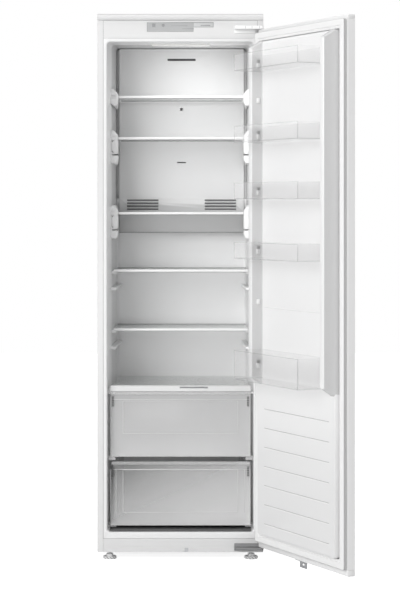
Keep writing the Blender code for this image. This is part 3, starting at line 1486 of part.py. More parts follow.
def build_door_foam(axis, foam, low, high):
    """The foam core: a slab in the panel that also fills the liner's plug and dykes."""
    inner = DOOR_INNER - DOOR_SHEET - GAP
    outer = DOOR_OUTER + DOOR_SHEET + GAP
    inset = DOOR_SHEET + GAP
    core = place_mesh(
        "door_foam",
        blocks(
            (
                (DOOR_FREE_EDGE + inset, outer, low + GAP),
                (DOOR_HINGE_EDGE - inset, inner, high - GAP),
            )
        ),
        foam,
        axis,
    )
    shrink = LINER_SKIN + GAP
    core_tool = bmesh.new()
    add_plug(core_tool, shrink, inner - DOOR_TRAY_DEPTH / 2)
    combine(core, core_tool, "UNION")
    for side in (-1, 1):
        fill = bmesh.new()
        add_dyke(fill, side, shrink, PLUG_FACE - LINER_SKIN - SEAM + GAP)
        combine(core, fill, "UNION")


def plug_x(closed_x):
    """A place across the cabinet as seen from the hinge axis."""
    return closed_x - HINGE_X


def add_plug(bm, shrink, base):
    """Adds the door liner's plug: a drafted slab that enters the cabin opening."""
    rings = []
    for y in (base, PLUG_FACE - shrink):
        draw = PLUG_DRAFT * (y - DOOR_INNER) / (PLUG_FACE - DOOR_INNER)
        x0 = plug_x(-PLUG_HALF) + shrink + draw
        x1 = plug_x(PLUG_HALF) - shrink - draw
        z0 = PLUG_BOTTOM + shrink + draw
        z1 = PLUG_TOP - shrink - draw
        corners = [(x0, z0), (x1, z0), (x1, z1), (x0, z1)]
        outline = rounded_outline(corners, PLUG_CORNER_RADIUS - shrink, 2)
        rings.append([(x, y, z) for x, z in outline])
    add_loft(bm, rings)


def add_dyke(bm, side, shrink, base):
    """Adds one upright dyke of the door liner, drafted on all four sides; side is -1 at the free edge."""
    rings = []
    foot = PLUG_HALF - DYKE_FOOT_INSET
    span = DYKE_FACE - PLUG_FACE
    for y in (base, DYKE_FACE - shrink):
        share = (y - PLUG_FACE) / span
        outer = foot - DYKE_OUTER_DRAFT * share - shrink
        inner = foot - DYKE_WIDTH + DYKE_INNER_DRAFT * share + shrink
        z0 = DYKE_BOTTOM + DYKE_END_DRAFT * share + shrink
        z1 = DYKE_TOP - DYKE_END_DRAFT * share - shrink
        xs = sorted((plug_x(side * outer), plug_x(side * inner)))
        rings.append([(xs[0], y, z0), (xs[1], y, z0), (xs[1], y, z1), (xs[0], y, z1)])
    add_loft(bm, rings)


def dyke_inner_foot():
    """Half the room between the dykes at the plug's face."""
    return PLUG_HALF - DYKE_FOOT_INSET - DYKE_WIDTH


def build_door_liner(axis, plastic):
    """The moulded door liner: a rim under the gasket, a plug, two dykes with lugs, and seven grooves."""
    base = DOOR_INNER + GAP
    rim_top = GASKET_BASE - GAP
    rim = (
        (DOOR_FREE_EDGE + SEAM, base, GASKET_BOTTOM),
        (DOOR_HINGE_EDGE - SEAM, rim_top, GASKET_TOP),
    )
    liner = place_mesh("door_liner", blocks(rim), plastic, axis)
    plug = bmesh.new()
    add_plug(plug, 0.0, base)
    combine(liner, plug, "UNION")
    for side in (-1, 1):
        dyke = bmesh.new()
        add_dyke(dyke, side, 0.0, PLUG_FACE - SEAM)
        combine(liner, dyke, "UNION")
    hollow = bmesh.new()
    add_plug(hollow, LINER_SKIN, base - OVERRUN)
    combine(liner, hollow, "DIFFERENCE")
    for side in (-1, 1):
        hollow = bmesh.new()
        add_dyke(hollow, side, LINER_SKIN, PLUG_FACE - LINER_SKIN - SEAM)
        combine(liner, hollow, "DIFFERENCE")
    grooves = bmesh.new()
    for k in range(GROOVE_COUNT):
        z = GROOVE_LOWEST + GROOVE_PITCH * k
        add_block(
            grooves,
            (GROOVE_LEFT, PLUG_FACE - GROOVE_DEPTH, z - GROOVE_HEIGHT / 2),
            (GROOVE_RIGHT, PLUG_FACE + OVERRUN, z + GROOVE_HEIGHT / 2),
        )
    combine(liner, grooves, "DIFFERENCE")
    lugs = bmesh.new()
    tops = [lug_top(name) for name in BIN_SHARES] + [dyke_height(share) for share in SPARE_LUG_SHARES]
    foot = dyke_inner_foot()
    for top in tops:
        for side in (-1, 1):
            near = plug_x(side * (foot - LUG_REACH))
            far = plug_x(side * (foot + SEAM))
            y0 = PLUG_FACE + LUG_SETBACK
            low = (min(near, far), y0, top - LUG_HEIGHT)
            high = (max(near, far), y0 + LUG_DEPTH, top)
            add_block(lugs, low, high)
    combine(liner, lugs, "UNION")
    ridge = blocks(
        (
            (GROOVE_LEFT, PLUG_FACE - SEAM, RIDGE_Z - RIDGE_HEIGHT / 2),
            (GROOVE_RIGHT, PLUG_FACE + RIDGE_PROUD, RIDGE_Z + RIDGE_HEIGHT / 2),
        )
    )
    combine(liner, ridge, "UNION")


def lug_top(name):
    """The height of the lugs that carry a bin."""
    rise = BOTTLE_BIN_LUG_RISE if name == BOTTLE_BIN else SMALL_BIN_LUG_RISE
    return dyke_height(BIN_SHARES[name]) + rise


def dyke_height(share):
    """A height at a share of the way up the dykes."""
    return DYKE_BOTTOM + share * (DYKE_TOP - DYKE_BOTTOM)


def build_gasket(axis, rubber):
    """The magnetic gasket: one section carried round the door, lower at its outer lip."""
    left = DOOR_FREE_EDGE + GASKET_EDGE_INSET
    right = DOOR_HINGE_EDGE - GASKET_EDGE_INSET
    lip = GASKET_FACE - GASKET_BASE
    section = [
        (GASKET_WIDTH * across_share, GASKET_BASE + lip * rise_share)
        for across_share, rise_share in GASKET_SECTION_SHARES
    ]
    bm = bmesh.new()
    loops = []
    for inset, y in section:
        corners = (
            (left + inset, y, GASKET_BOTTOM + inset),
            (right - inset, y, GASKET_BOTTOM + inset),
            (right - inset, y, GASKET_TOP - inset),
            (left + inset, y, GASKET_TOP - inset),
        )
        loops.append([bm.verts.new(corner) for corner in corners])
    for first, second in zip(loops, loops[1:] + loops[:1]):
        for i in range(4):
            j = (i + 1) % 4
            bm.faces.new((first[i], first[j], second[j], second[i]))
    place_mesh("door_gasket", bm, rubber, axis)


def build_bins(axis, clear):
    """Four small bins and a bottle bin: drafted open tubs with an ear on each side that rests on a lug."""
    half = dyke_inner_foot() - LUG_REACH - BIN_SIDE_ROOM
    for name, share in BIN_SHARES.items():
        bottom = dyke_height(share)
        height = BOTTLE_BIN_HEIGHT if name == BOTTLE_BIN else SMALL_BIN_HEIGHT
        bm = bmesh.new()
        add_tub(bm, half, bottom, bottom + height, 0.0)
        label = "bottle_bin" if name == BOTTLE_BIN else f"door_bin_{name}"
        tub = place_mesh(label, bm, clear, axis)
        ears = bmesh.new()
        y0 = PLUG_FACE + LUG_SETBACK
        z0 = lug_top(name) + GAP
        for side in (-1, 1):
            near = plug_x(side * (half - BIN_DRAFT - BIN_WALL / 2))
            far = plug_x(side * (half + LUG_REACH))
            add_block(ears, (min(near, far), y0, z0), (max(near, far), y0 + LUG_DEPTH, z0 + EAR_HEIGHT))
        combine(tub, ears, "UNION")
        hollow = bmesh.new()
        add_tub(hollow, half, bottom, bottom + height + OVERRUN, BIN_WALL)
        combine(tub, hollow, "DIFFERENCE")


def add_tub(bm, half, bottom, top, wall):
    """Adds a bin's volume, less a wall on every side but the top; its corners are rounded."""
    rings = []
    for z, draw in ((bottom + wall, BIN_DRAFT), (top, 0.0)):
        corners = [
            (plug_x(-half) + draw + wall, BIN_BACK + wall),
            (plug_x(half) - draw - wall, BIN_BACK + wall),
            (plug_x(half) - draw - wall, BIN_FACE - draw - wall),
            (plug_x(-half) + draw + wall, BIN_FACE - draw - wall),
        ]
        outline = rounded_outline(corners, BIN_WALL * 2 - wall + SEAM, 3)
        rings.append([(x, y, z) for x, y in outline])
    add_loft(bm, rings)


def build_brackets(axis, plastic, steel):
    """Furniture-door brackets: two slide blocks on the outer face and a hanger under the bottom edge."""
    seat = DOOR_OUTER + BRACKET_SEAT - GAP
    front = DOOR_OUTER - BRACKET_PROUD
    left = DOOR_FREE_EDGE + BRACKET_EDGE_INSET
    for name, z in BRACKET_CENTRES.items():
        half = BRACKET_HEIGHT / 2
        block = place_mesh(
            f"furniture_bracket_{name}",
            blocks(((left, front, z - half), (left + BRACKET_WIDTH, seat, z + half))),
            plastic,
            axis,
        )
        groove = blocks(
            (
                (left - OVERRUN, front - OVERRUN, z - half / 3),
                (left + BRACKET_WIDTH + OVERRUN, front + BRACKET_GROOVE, z + half / 3),
            )
        )
        combine(block, groove, "DIFFERENCE")
    low = HANGER_X - HANGER_WIDTH / 2
    high = HANGER_X + HANGER_WIDTH / 2
    top = DOOR_BOTTOM - GAP
    outline = [
        (DOOR_OUTER, top),
        (DOOR_OUTER, top - HANGER_DROP),
        (DOOR_OUTER + HANGER_THICK, top - HANGER_DROP),
        (DOOR_OUTER + HANGER_THICK, top - HANGER_THICK),
        (DOOR_OUTER + HANGER_TAB, top - HANGER_THICK),
        (DOOR_OUTER + HANGER_TAB, top),
    ]
    bm = bmesh.new()
    add_prism(bm, outline, "X", low, high)
    hanger = place_mesh("door_bottom_hanger", bm, steel, axis)
    slot = bmesh.new()
    z = top - HANGER_DROP * HANGER_SLOT_SHARE
    corners = [
        (HANGER_X - HANGER_SLOT_WIDTH / 2, z - HANGER_SLOT_HEIGHT / 2),
        (HANGER_X + HANGER_SLOT_WIDTH / 2, z - HANGER_SLOT_HEIGHT / 2),
        (HANGER_X + HANGER_SLOT_WIDTH / 2, z + HANGER_SLOT_HEIGHT / 2),
        (HANGER_X - HANGER_SLOT_WIDTH / 2, z + HANGER_SLOT_HEIGHT / 2),
    ]
    add_prism(slot, corners, "Y", DOOR_OUTER - OVERRUN, DOOR_OUTER + HANGER_THICK + SEAM)
    combine(hanger, slot, "DIFFERENCE")


def main():
    """Builds every piece, cabinet first and then the door."""
    for obj in list(bpy.data.objects):
        bpy.data.objects.remove(obj, do_unlink=True)

    white_steel = material("white_steel", (0.86, 0.86, 0.86), 0.35, 0.0)
    white_plastic = material("white_plastic", (0.84, 0.85, 0.85), 0.38)
    grey_plastic = material("grey_plastic", (0.55, 0.56, 0.57), 0.40)
    zinc = material("zinc_steel", (0.62, 0.63, 0.64), 0.42, 1.0)
    dark_steel = material("dark_steel", (0.12, 0.12, 0.13), 0.45, 0.6)
    black_steel = material("black_steel", (0.02, 0.02, 0.02), 0.40)
    foam = material("foam", (0.86, 0.83, 0.70), 0.90)
    rubber = material("gasket_rubber", (0.80, 0.80, 0.79), 0.60)
    clear_plastic = material("clear_plastic", (0.90, 0.92, 0.93), 0.12, alpha=0.35)
    shelf_glass = material("shelf_glass", (0.86, 0.92, 0.90), 0.05, alpha=0.35)
    aluminium = material("aluminium", (0.80, 0.80, 0.80), 0.35, 1.0)
    lamp_lens = material("lamp_lens", (1.0, 0.99, 0.95), 0.20, glow=1.5)

    build_case(white_steel)
    build_base(zinc)
    build_feet(white_plastic)
    build_foam(foam)
    build_liner(white_plastic)
    build_back(zinc, black_steel)
    build_front_trims(white_plastic, grey_plastic)
    build_keys(grey_plastic)
    build_duct(white_plastic)
    build_evaporator(aluminium)
    build_fan(white_plastic, black_steel)
    build_lamp(lamp_lens)
    build_supports(white_plastic)
    build_shelves(shelf_glass, white_plastic)
    build_cover(shelf_glass, white_plastic, grey_plastic)
    build_drawer(
        "upper_drawer",
        clear_plastic,
        UPPER_DRAWER_BOTTOM,
        UPPER_BODY_TOP,
        UPPER_FRONT_TOP,
        UPPER_DRAWER_BACK,
    )
    build_drawer(
        "lower_drawer",
        clear_plastic,
        LOWER_DRAWER_BOTTOM,
        LOWER_BODY_TOP,
        LOWER_FRONT_TOP,
        LOWER_DRAWER_BACK,
    )
    build_runners(white_plastic)
    build_compressor(black_steel, grey_plastic)
    build_hinges(white_steel, dark_steel)

    axis = bpy.data.objects.new("door_hinge_axis", None)
    bpy.context.scene.collection.objects.link(axis)
    axis.location = (HINGE_X, HINGE_Y, 0)
    build_door_shell(axis, white_steel, white_plastic, foam, rubber)
    build_door_liner(axis, white_plastic)
    build_bins(axis, clear_plastic)
    build_brackets(axis, white_plastic, dark_steel)
    axis.rotation_euler = (0, 0, math.radians(DOOR_OPEN_DEGREES))
    bpy.context.view_layer.update()


main()
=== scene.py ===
# %% [markdown]
# A built-in larder refrigerator with its door swung open.
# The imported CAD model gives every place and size. This script loads it as a fixed frame and dresses it:
# the moulded plastic parts are made again as smooth surfaces, and every surface gets a procedural finish.

# %% Load the frame
import json
import math

import bmesh
import bpy
import numpy as np
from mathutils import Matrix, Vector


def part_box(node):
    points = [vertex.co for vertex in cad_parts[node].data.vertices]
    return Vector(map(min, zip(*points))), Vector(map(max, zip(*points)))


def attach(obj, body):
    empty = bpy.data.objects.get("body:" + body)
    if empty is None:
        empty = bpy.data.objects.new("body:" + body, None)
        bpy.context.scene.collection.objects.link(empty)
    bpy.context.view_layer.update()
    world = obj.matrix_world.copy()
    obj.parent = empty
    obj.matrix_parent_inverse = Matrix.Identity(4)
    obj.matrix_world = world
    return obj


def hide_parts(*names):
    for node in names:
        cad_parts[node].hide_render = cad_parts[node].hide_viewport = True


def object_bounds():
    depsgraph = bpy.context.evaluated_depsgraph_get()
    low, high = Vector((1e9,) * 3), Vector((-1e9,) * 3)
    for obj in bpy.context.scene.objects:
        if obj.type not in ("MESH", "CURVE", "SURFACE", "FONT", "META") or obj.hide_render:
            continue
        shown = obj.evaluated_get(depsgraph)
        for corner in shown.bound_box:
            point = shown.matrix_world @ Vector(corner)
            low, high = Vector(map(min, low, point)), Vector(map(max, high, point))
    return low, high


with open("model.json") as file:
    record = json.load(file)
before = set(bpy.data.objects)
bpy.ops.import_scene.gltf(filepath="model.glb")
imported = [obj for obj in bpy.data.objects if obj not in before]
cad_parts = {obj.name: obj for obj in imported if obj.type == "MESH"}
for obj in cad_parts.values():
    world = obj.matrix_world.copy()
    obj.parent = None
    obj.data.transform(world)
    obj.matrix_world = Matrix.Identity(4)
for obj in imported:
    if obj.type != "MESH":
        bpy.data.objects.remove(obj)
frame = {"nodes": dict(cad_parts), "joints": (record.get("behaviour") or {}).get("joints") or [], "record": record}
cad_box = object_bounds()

record = frame["record"]
body_of_node = {
    node: body for body, members in record["behaviour"]["bodies"].items() for node in members
}

# %% [markdown]
# The cabinet stands upright with its front in the plane Y = FRONT, and a depth is measured from that plane.
# The door turns on a pin. Its pieces are easiest to work out with the door shut, so a helper then turns
# whole arrays of points about the pin to where the open door stands.

# %% Places that everything is measured from
case_low, case_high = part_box("outer_case")
HALF = case_high.x
FRONT = case_low.y
CASE_HEIGHT = case_high.z
door_joint = next(joint for joint in frame["joints"] if joint["name"] == "door_hinge")
HINGE_X, HINGE_Y, _ = door_joint["pos_m"]
DOOR_ANGLE = -math.radians(door_joint["range_deg"][0])
print("case half width", round(HALF, 4), "front", round(FRONT, 4), "door open by", round(DOOR_ANGLE, 3))


def on_door(points):
    """Turns shut-door points to the open door: x and y about the pin by the door's angle, z as it is.

    A shut-door point is (X across the cabinet, Y from the pin into the cabin, Z up).
    """
    x = points[..., 0] - HINGE_X
    y = points[..., 1]
    cosine = math.cos(DOOR_ANGLE)
    sine = math.sin(DOOR_ANGLE)
    return np.stack(
        [HINGE_X + x * cosine - y * sine, HINGE_Y + x * sine + y * cosine, points[..., 2]], axis=-1
    )


# %% [markdown]
# Moulded parts are rows of rounded rectangles joined one after another: a tub, a liner, a lug and a trim
# differ only in how the rectangle's sides move from row to row. So three helpers do most of the modelling:
# one makes the rectangles, one joins rows into faces, and one turns the result into a Blender object.


# %% Rounded rectangles and the faces between them
def rounded_rings(low_a, high_a, low_b, high_b, radius, steps=5):
    """Rounded rectangles as an array (rings, points, 2), anticlockwise from the right side.

    Each corner is its centre plus the radius times the cosine and sine of an angle that runs a quarter turn.
    """
    sizes = [np.atleast_1d(np.asarray(value, float)) for value in (low_a, high_a, low_b, high_b, radius)]
    low_a, high_a, low_b, high_b, radius = (value[:, None] for value in np.broadcast_arrays(*sizes))
    quarter = np.linspace(0, np.pi / 2, steps + 1)
    turn = (quarter[None, :] + np.arange(4)[:, None] * np.pi / 2).ravel()
    is_right = np.repeat([True, False, False, True], steps + 1)
    is_upper = np.repeat([True, True, False, False], steps + 1)
    a = np.where(is_right, high_a - radius, low_a + radius) + radius * np.cos(turn)
    b = np.where(is_upper, high_b - radius, low_b + radius) + radius * np.sin(turn)
    return np.stack([a, b], axis=-1)


def grid_faces(rows, columns, around=True, along=False):
    """The four corner numbers of every face of a grid; around and along close it on itself."""
    row = np.arange(rows if along else rows - 1)[:, None]
    column = np.arange(columns if around else columns - 1)[None, :]
    next_row = (row + 1) % rows
    next_column = (column + 1) % columns
    corners = (
        row * columns + column,
        row * columns + next_column,
        next_row * columns + next_column,
        next_row * columns + column,
    )
    return np.stack(corners, axis=-1).reshape(-1, 4).tolist()


def joined(rings, along=False, capped=True):
    """(points, faces) of rings joined in a row. Both ends get a cap, unless the row closes on itself."""
    rows, columns = rings.shape[:2]
    faces = grid_faces(rows, columns, True, along)
    if capped and not along:
        faces.append(list(range(columns))[::-1])
        faces.append(list(range((rows - 1) * columns, rows * columns)))
    return rings.reshape(-1, 3), faces


def place_rings(rings, along, axis):
    """Puts flat rings (rings, points, 2) into space: along is their place on one axis, 0, 1 or 2."""
    others = [i for i in range(3) if i != axis]
    points = np.empty((*rings.shape[:2], 3))
    points[..., others[0]] = rings[..., 0]
    points[..., others[1]] = rings[..., 1]
    points[..., axis] = np.asarray(along)[:, None]
    return points


def rounded_bar(low, high, radius, axis=1, steps=4):
    """A bar with every edge rounded. Near its ends the section is drawn in by radius * (1 - sin of a turn)."""
    low = np.asarray(low, float)
    high = np.asarray(high, float)
    first, second = (i for i in range(3) if i != axis)
    turn = np.linspace(0, np.pi / 2, steps + 1)
    draw = radius * (1 - np.sin(turn))
    reach = radius * (1 - np.cos(turn))
    inset = np.concatenate([draw, draw[::-1]])
    along = np.concatenate([low[axis] + reach, high[axis] - reach[::-1]])
    corner = np.maximum(radius - inset, radius * CORNER_SHARE)
    rings = rounded_rings(
        low[first] + inset, high[first] - inset, low[second] + inset, high[second] - inset, corner, steps
    )
    return joined(place_rings(rings, along, axis))


CORNER_SHARE = 0.2
print("points in one rounded ring:", rounded_rings(-1, 1, -1, 1, CORNER_SHARE).shape[1])


# %% Turn points and faces into an object that rides on its body
def make_piece(name, parts, finish, body, stands_for=(), smooth_degrees=38.0):
    """Joins (points, faces) parts into one object at the origin, with its normals outwards."""
    points = np.concatenate([part[0] for part in parts])
    starts = np.cumsum([0] + [len(part[0]) for part in parts])
    faces = [
        [corner + start for corner in face] for start, part in zip(starts.tolist(), parts) for face in part[1]
    ]
    mesh = bpy.data.meshes.new(name)
    mesh.from_pydata(points.tolist(), [], faces)
    work = bmesh.new()
    work.from_mesh(mesh)
    bmesh.ops.recalc_face_normals(work, faces=work.faces)
    work.to_mesh(mesh)
    work.free()
    return finish_piece(name, mesh, finish, body, stands_for, smooth_degrees)


def finish_piece(name, mesh, finish, body, stands_for, smooth_degrees):
    """Shades a mesh smoothly across shallow angles and hangs its object on its body."""
    mesh.shade_smooth()
    mesh.set_sharp_from_angle(angle=math.radians(smooth_degrees))
    mesh.materials.clear()
    mesh.materials.append(finish)
    piece = bpy.data.objects.new(name, mesh)
    bpy.context.scene.collection.objects.link(piece)
    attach(piece, body)
    if stands_for:
        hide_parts(*stands_for)
    return piece


def round_edges(piece, width, segments=3, degrees=30.0):
    """Rounds a piece's sharp edges."""
    bevel = piece.modifiers.new("rounded edges", "BEVEL")
    bevel.width = width
    bevel.segments = segments
    bevel.limit_method = "ANGLE"
    bevel.angle_limit = math.radians(degrees)
    bevel.harden_normals = True
    return piece


def softened(node, finish, width, segments=3, smooth_degrees=38.0):
    """A copy of a CAD node with its loose triangles merged into flat faces and its edges rounded."""
    work = bmesh.new()
    work.from_mesh(frame["nodes"][node].data)
    bmesh.ops.remove_doubles(work, verts=work.verts, dist=MERGE_DISTANCE)
    bmesh.ops.dissolve_limit(
        work, angle_limit=math.radians(FLAT_DEGREES), verts=work.verts, edges=work.edges
    )
    bmesh.ops.recalc_face_normals(work, faces=work.faces)
    mesh = bpy.data.meshes.new(f"{node}_dressed")
    work.to_mesh(mesh)
    work.free()
    body = body_of_node[node]
    piece = finish_piece(f"{node}_dressed", mesh, finish, body, (node,), smooth_degrees)
    return round_edges(piece, width, segments)


MERGE_DISTANCE = 0.00001
FLAT_DEGREES = 0.6

# %% [markdown]
# White goods look plain, but no surface is one flat colour. Painted steel has a faint orange peel,
# moulded plastic a fine grain and slow clouds from the mould, and everything that faces up holds a little
# dust. Each of these effects is a node group, so that every finish uses the same one with its own values.


# %% A short way to add shader nodes
def add_node(tree, kind, inputs=None, **settings):
    """Adds a node, sets its properties, and links or fills the inputs that are named."""
    made = tree.nodes.new(kind)
    for key, value in settings.items():
        setattr(made, key, value)
    for key, value in (inputs or {}).items():
        if isinstance(value, bpy.types.NodeSocket):
            tree.links.new(value, made.inputs[key])
        else:
            made.inputs[key].default_value = value
    return made


def new_group(name, inputs, outputs):
    """An empty shader group with number inputs {name: default} and the named outputs."""
    group = bpy.data.node_groups.new(name, "ShaderNodeTree")
    for key, value in inputs.items():
        socket = group.interface.new_socket(key, in_out="INPUT", socket_type="NodeSocketFloat")
        socket.default_value = value
    for key in outputs:
        group.interface.new_socket(key, in_out="OUTPUT", socket_type="NodeSocketFloat")
    return group, group.nodes.new("NodeGroupInput"), group.nodes.new("NodeGroupOutput")


# %% [markdown]
# The mould grain group gives a fine bump for the texture of the tool, slow clouds for the uneven gloss of a
# large moulding, and rare flecks. All three are noises on Object coordinates, which move with the piece.

# %% The mould grain group
GRAIN_PER_METRE = 900.0
CLOUDS_PER_METRE = 6.0
FLECKS_PER_METRE = 160.0
FLECK_THRESHOLD_SHARE = 0.66
FLECK_SOFTNESS_SHARE = 0.10

mould_grain, ends_in, ends_out = new_group(
    "mould grain", {"Grain Scale": GRAIN_PER_METRE, "Cloud Scale": CLOUDS_PER_METRE}, ("Height", "Clouds", "Flecks")
)
place = add_node(mould_grain, "ShaderNodeTexCoord")
grain = add_node(
    mould_grain,
    "ShaderNodeTexNoise",
    {"Vector": place.outputs["Object"], "Scale": ends_in.outputs["Grain Scale"], "Detail": 3.0},
)
clouds = add_node(
    mould_grain,
    "ShaderNodeTexNoise",
    {"Vector": place.outputs["Object"], "Scale": ends_in.outputs["Cloud Scale"], "Detail": 4.0},
)
spots = add_node(
    mould_grain,
    "ShaderNodeTexNoise",
    {"Vector": place.outputs["Object"], "Scale": FLECKS_PER_METRE, "Detail": 2.0},
)
flecks = add_node(
    mould_grain,
    "ShaderNodeMapRange",
    {
        "Value": spots.outputs["Fac"],
        "From Min": FLECK_THRESHOLD_SHARE,
        "From Max": FLECK_THRESHOLD_SHARE + FLECK_SOFTNESS_SHARE,
    },
)
mould_grain.links.new(grain.outputs["Fac"], ends_out.inputs["Height"])
mould_grain.links.new(clouds.outputs["Fac"], ends_out.inputs["Clouds"])
mould_grain.links.new(flecks.outputs["Result"], ends_out.inputs["Flecks"])
print("group", mould_grain.name, "with", len(mould_grain.nodes), "nodes")

# %% [markdown]
# Dust settles where a surface faces up, in patches. The group multiplies how far the normal points up by a
# noise, so a level shelf greys a little and a wall stays clean.

# %% The settled dust group
DUST_PER_METRE = 28.0
DUST_FROM_SHARE = 0.55

settled_dust, ends_in, ends_out = new_group("settled dust", {"Amount": 0.1}, ("Mask",))
surface = add_node(settled_dust, "ShaderNodeNewGeometry")
normal = add_node(settled_dust, "ShaderNodeSeparateXYZ", {"Vector": surface.outputs["Normal"]})
upward = add_node(settled_dust, "ShaderNodeMapRange", {"Value": normal.outputs["Z"], "From Min": DUST_FROM_SHARE})
place = add_node(settled_dust, "ShaderNodeTexCoord")
patches = add_node(
    settled_dust,
    "ShaderNodeTexNoise",
    {"Vector": place.outputs["Object"], "Scale": DUST_PER_METRE, "Detail": 5.0},
)
patchy = add_node(
    settled_dust,
    "ShaderNodeMath",
    {0: upward.outputs["Result"], 1: patches.outputs["Fac"]},
    operation="MULTIPLY",
)
amount = add_node(
    settled_dust, "ShaderNodeMath", {0: patchy.outputs[0], 1: ends_in.outputs["Amount"]}, operation="MULTIPLY"
)
settled_dust.links.new(amount.outputs[0], ends_out.inputs["Mask"])
print("group", settled_dust.name, "with", len(settled_dust.nodes), "nodes")

# %% [markdown]
# Handling polishes and greys convex edges first. The pointiness of the mesh finds them, and a noise breaks
# the line up so that the wear is not a drawn outline.

# %% The edge wear group
WEAR_FROM_SHARE = 0.52
WEAR_TO_SHARE = 0.60
WEAR_PER_METRE = 45.0

edge_wear, ends_in, ends_out = new_group("edge wear", {"Amount": 0.3}, ("Mask",))
surface = add_node(edge_wear, "ShaderNodeNewGeometry")
convex = add_node(
    edge_wear,
    "ShaderNodeMapRange",
    {"Value": surface.outputs["Pointiness"], "From Min": WEAR_FROM_SHARE, "From Max": WEAR_TO_SHARE},
)
place = add_node(edge_wear, "ShaderNodeTexCoord")
broken = add_node(
    edge_wear,
    "ShaderNodeTexNoise",
    {"Vector": place.outputs["Object"], "Scale": WEAR_PER_METRE, "Detail": 6.0},
)
worn = add_node(
    edge_wear, "ShaderNodeMath", {0: convex.outputs["Result"], 1: broken.outputs["Fac"]}, operation="MULTIPLY"
)
amount = add_node(
    edge_wear, "ShaderNodeMath", {0: worn.outputs[0], 1: ends_in.outputs["Amount"]}, operation="MULTIPLY"
)
edge_wear.links.new(amount.outputs[0], ends_out.inputs["Mask"])
print("group", edge_wear.name, "with", len(edge_wear.nodes), "nodes")

# %% [markdown]
# Most finishes here differ only in numbers: two close colours that the clouds mix, a range of roughness,
# the size and height of the grain, and how much dust and wear they carry. One function builds them all.


# %% One function for the opaque finishes
def opaque_finish(
    name,
    colour,
    shade,
    roughness,
    grain_scale=GRAIN_PER_METRE,
    grain_height=0.00002,
    dust=0.06,
    wear=0.15,
    worn_colour=(0.62, 0.62, 0.61),
    metallic=0.0,
    coat=0.0,
    cloud_scale=CLOUDS_PER_METRE,
    specular=0.5,
):
    """A finish whose colour and roughness drift with the mould's clouds, over a fine bump."""
    finish = bpy.data.materials.new(name)
    finish.use_nodes = True
    tree = finish.node_tree
    shader = tree.nodes["Principled BSDF"]
    shader.inputs["Metallic"].default_value = metallic
    shader.inputs["Specular IOR Level"].default_value = specular
    shader.inputs["Coat Weight"].default_value = coat
    shader.inputs["Coat Roughness"].default_value = COAT_ROUGHNESS_SHARE
    grain = add_node(tree, "ShaderNodeGroup", node_tree=mould_grain)
    grain.inputs["Grain Scale"].default_value = grain_scale
    grain.inputs["Cloud Scale"].default_value = cloud_scale
    dusty = add_node(tree, "ShaderNodeGroup", node_tree=settled_dust)
    dusty.inputs["Amount"].default_value = dust
    worn = add_node(tree, "ShaderNodeGroup", node_tree=edge_wear)
    worn.inputs["Amount"].default_value = wear
    base = add_node(
        tree,
        "ShaderNodeMix",
        {"Factor": grain.outputs["Clouds"], 6: (*colour, 1.0), 7: (*shade, 1.0)},
        data_type="RGBA",
    )
    with_wear = add_node(
        tree,
        "ShaderNodeMix",
        {"Factor": worn.outputs["Mask"], 6: base.outputs[2], 7: (*worn_colour, 1.0)},
        data_type="RGBA",
    )
    with_dust = add_node(
        tree,
        "ShaderNodeMix",
        {"Factor": dusty.outputs["Mask"], 6: with_wear.outputs[2], 7: (*DUST_COLOUR, 1.0)},
        data_type="RGBA",
    )
    gloss = add_node(
        tree,
        "ShaderNodeMapRange",
        {"Value": grain.outputs["Clouds"], "To Min": roughness[0], "To Max": roughness[1]},
    )
    rough = add_node(
        tree,
        "ShaderNodeMath",
        {0: gloss.outputs["Result"], 1: dusty.outputs["Mask"]},
        operation="ADD",
        use_clamp=True,
    )
    bump = add_node(
        tree, "ShaderNodeBump", {"Height": grain.outputs["Height"], "Distance": grain_height, "Strength": 1.0}
    )
    tree.links.new(with_dust.outputs[2], shader.inputs["Base Color"])
    tree.links.new(rough.outputs[0], shader.inputs["Roughness"])
    tree.links.new(bump.outputs["Normal"], shader.inputs["Normal"])
    return finish


DUST_COLOUR = (0.55, 0.54, 0.52)
COAT_ROUGHNESS_SHARE = 0.12

# %% [markdown]
# The case, the door and the hinges are enamelled steel: glossier than the plastic, with a shallow, wider
# orange peel. The liner, trims and duct cover are white ABS and polystyrene with a satin grain.

# %% The opaque finishes
# The six greys below are painted shade, each mixed into a finish by an attribute of its piece.
GASKET_SIDE_PAINTED_SHADE = (0.52, 0.52, 0.522)
DYKE_SIDE_PAINTED_SHADE = (0.60, 0.60, 0.602)
DUCT_BOX_PAINTED_SHADE = (0.58, 0.58, 0.582)
DOOR_PAINTED_SHADE = (0.30, 0.30, 0.302)
FOOT_SLOT_PAINTED_SHADE = (0.10, 0.10, 0.10)
LINER_PAINTED_SHADE = (0.58, 0.58, 0.582)

# The case's enamel is the door's enamel made darker: the difference paints shade on the case.
enamel = opaque_finish(
    "white enamel", (0.71, 0.71, 0.71), (0.695, 0.695, 0.697), (0.24, 0.34), 320.0, 0.00003, 0.05, 0.10, coat=0.3
)
door_enamel = opaque_finish(
    "door enamel", (0.87, 0.87, 0.87), (0.855, 0.855, 0.857), (0.24, 0.34), 320.0, 0.00003, 0.05, 0.10, coat=0.3
)
abs_white = opaque_finish("white ABS", (0.84, 0.84, 0.84), (0.82, 0.82, 0.822), (0.34, 0.46))
fascia_white = opaque_finish(
    "fascia plastic", (0.725, 0.725, 0.725), (0.71, 0.71, 0.712), (0.38, 0.50), specular=0.3
)
cast_white = opaque_finish("hinge paint", (0.92, 0.92, 0.92), (0.90, 0.90, 0.90), (0.26, 0.36), 320.0, 0.00003, coat=0.2)
dyke_white = opaque_finish(
    "dyke polystyrene", (0.86, 0.86, 0.86), (0.845, 0.845, 0.847), (0.26, 0.38), 500.0, 0.00003, coat=0.15
)
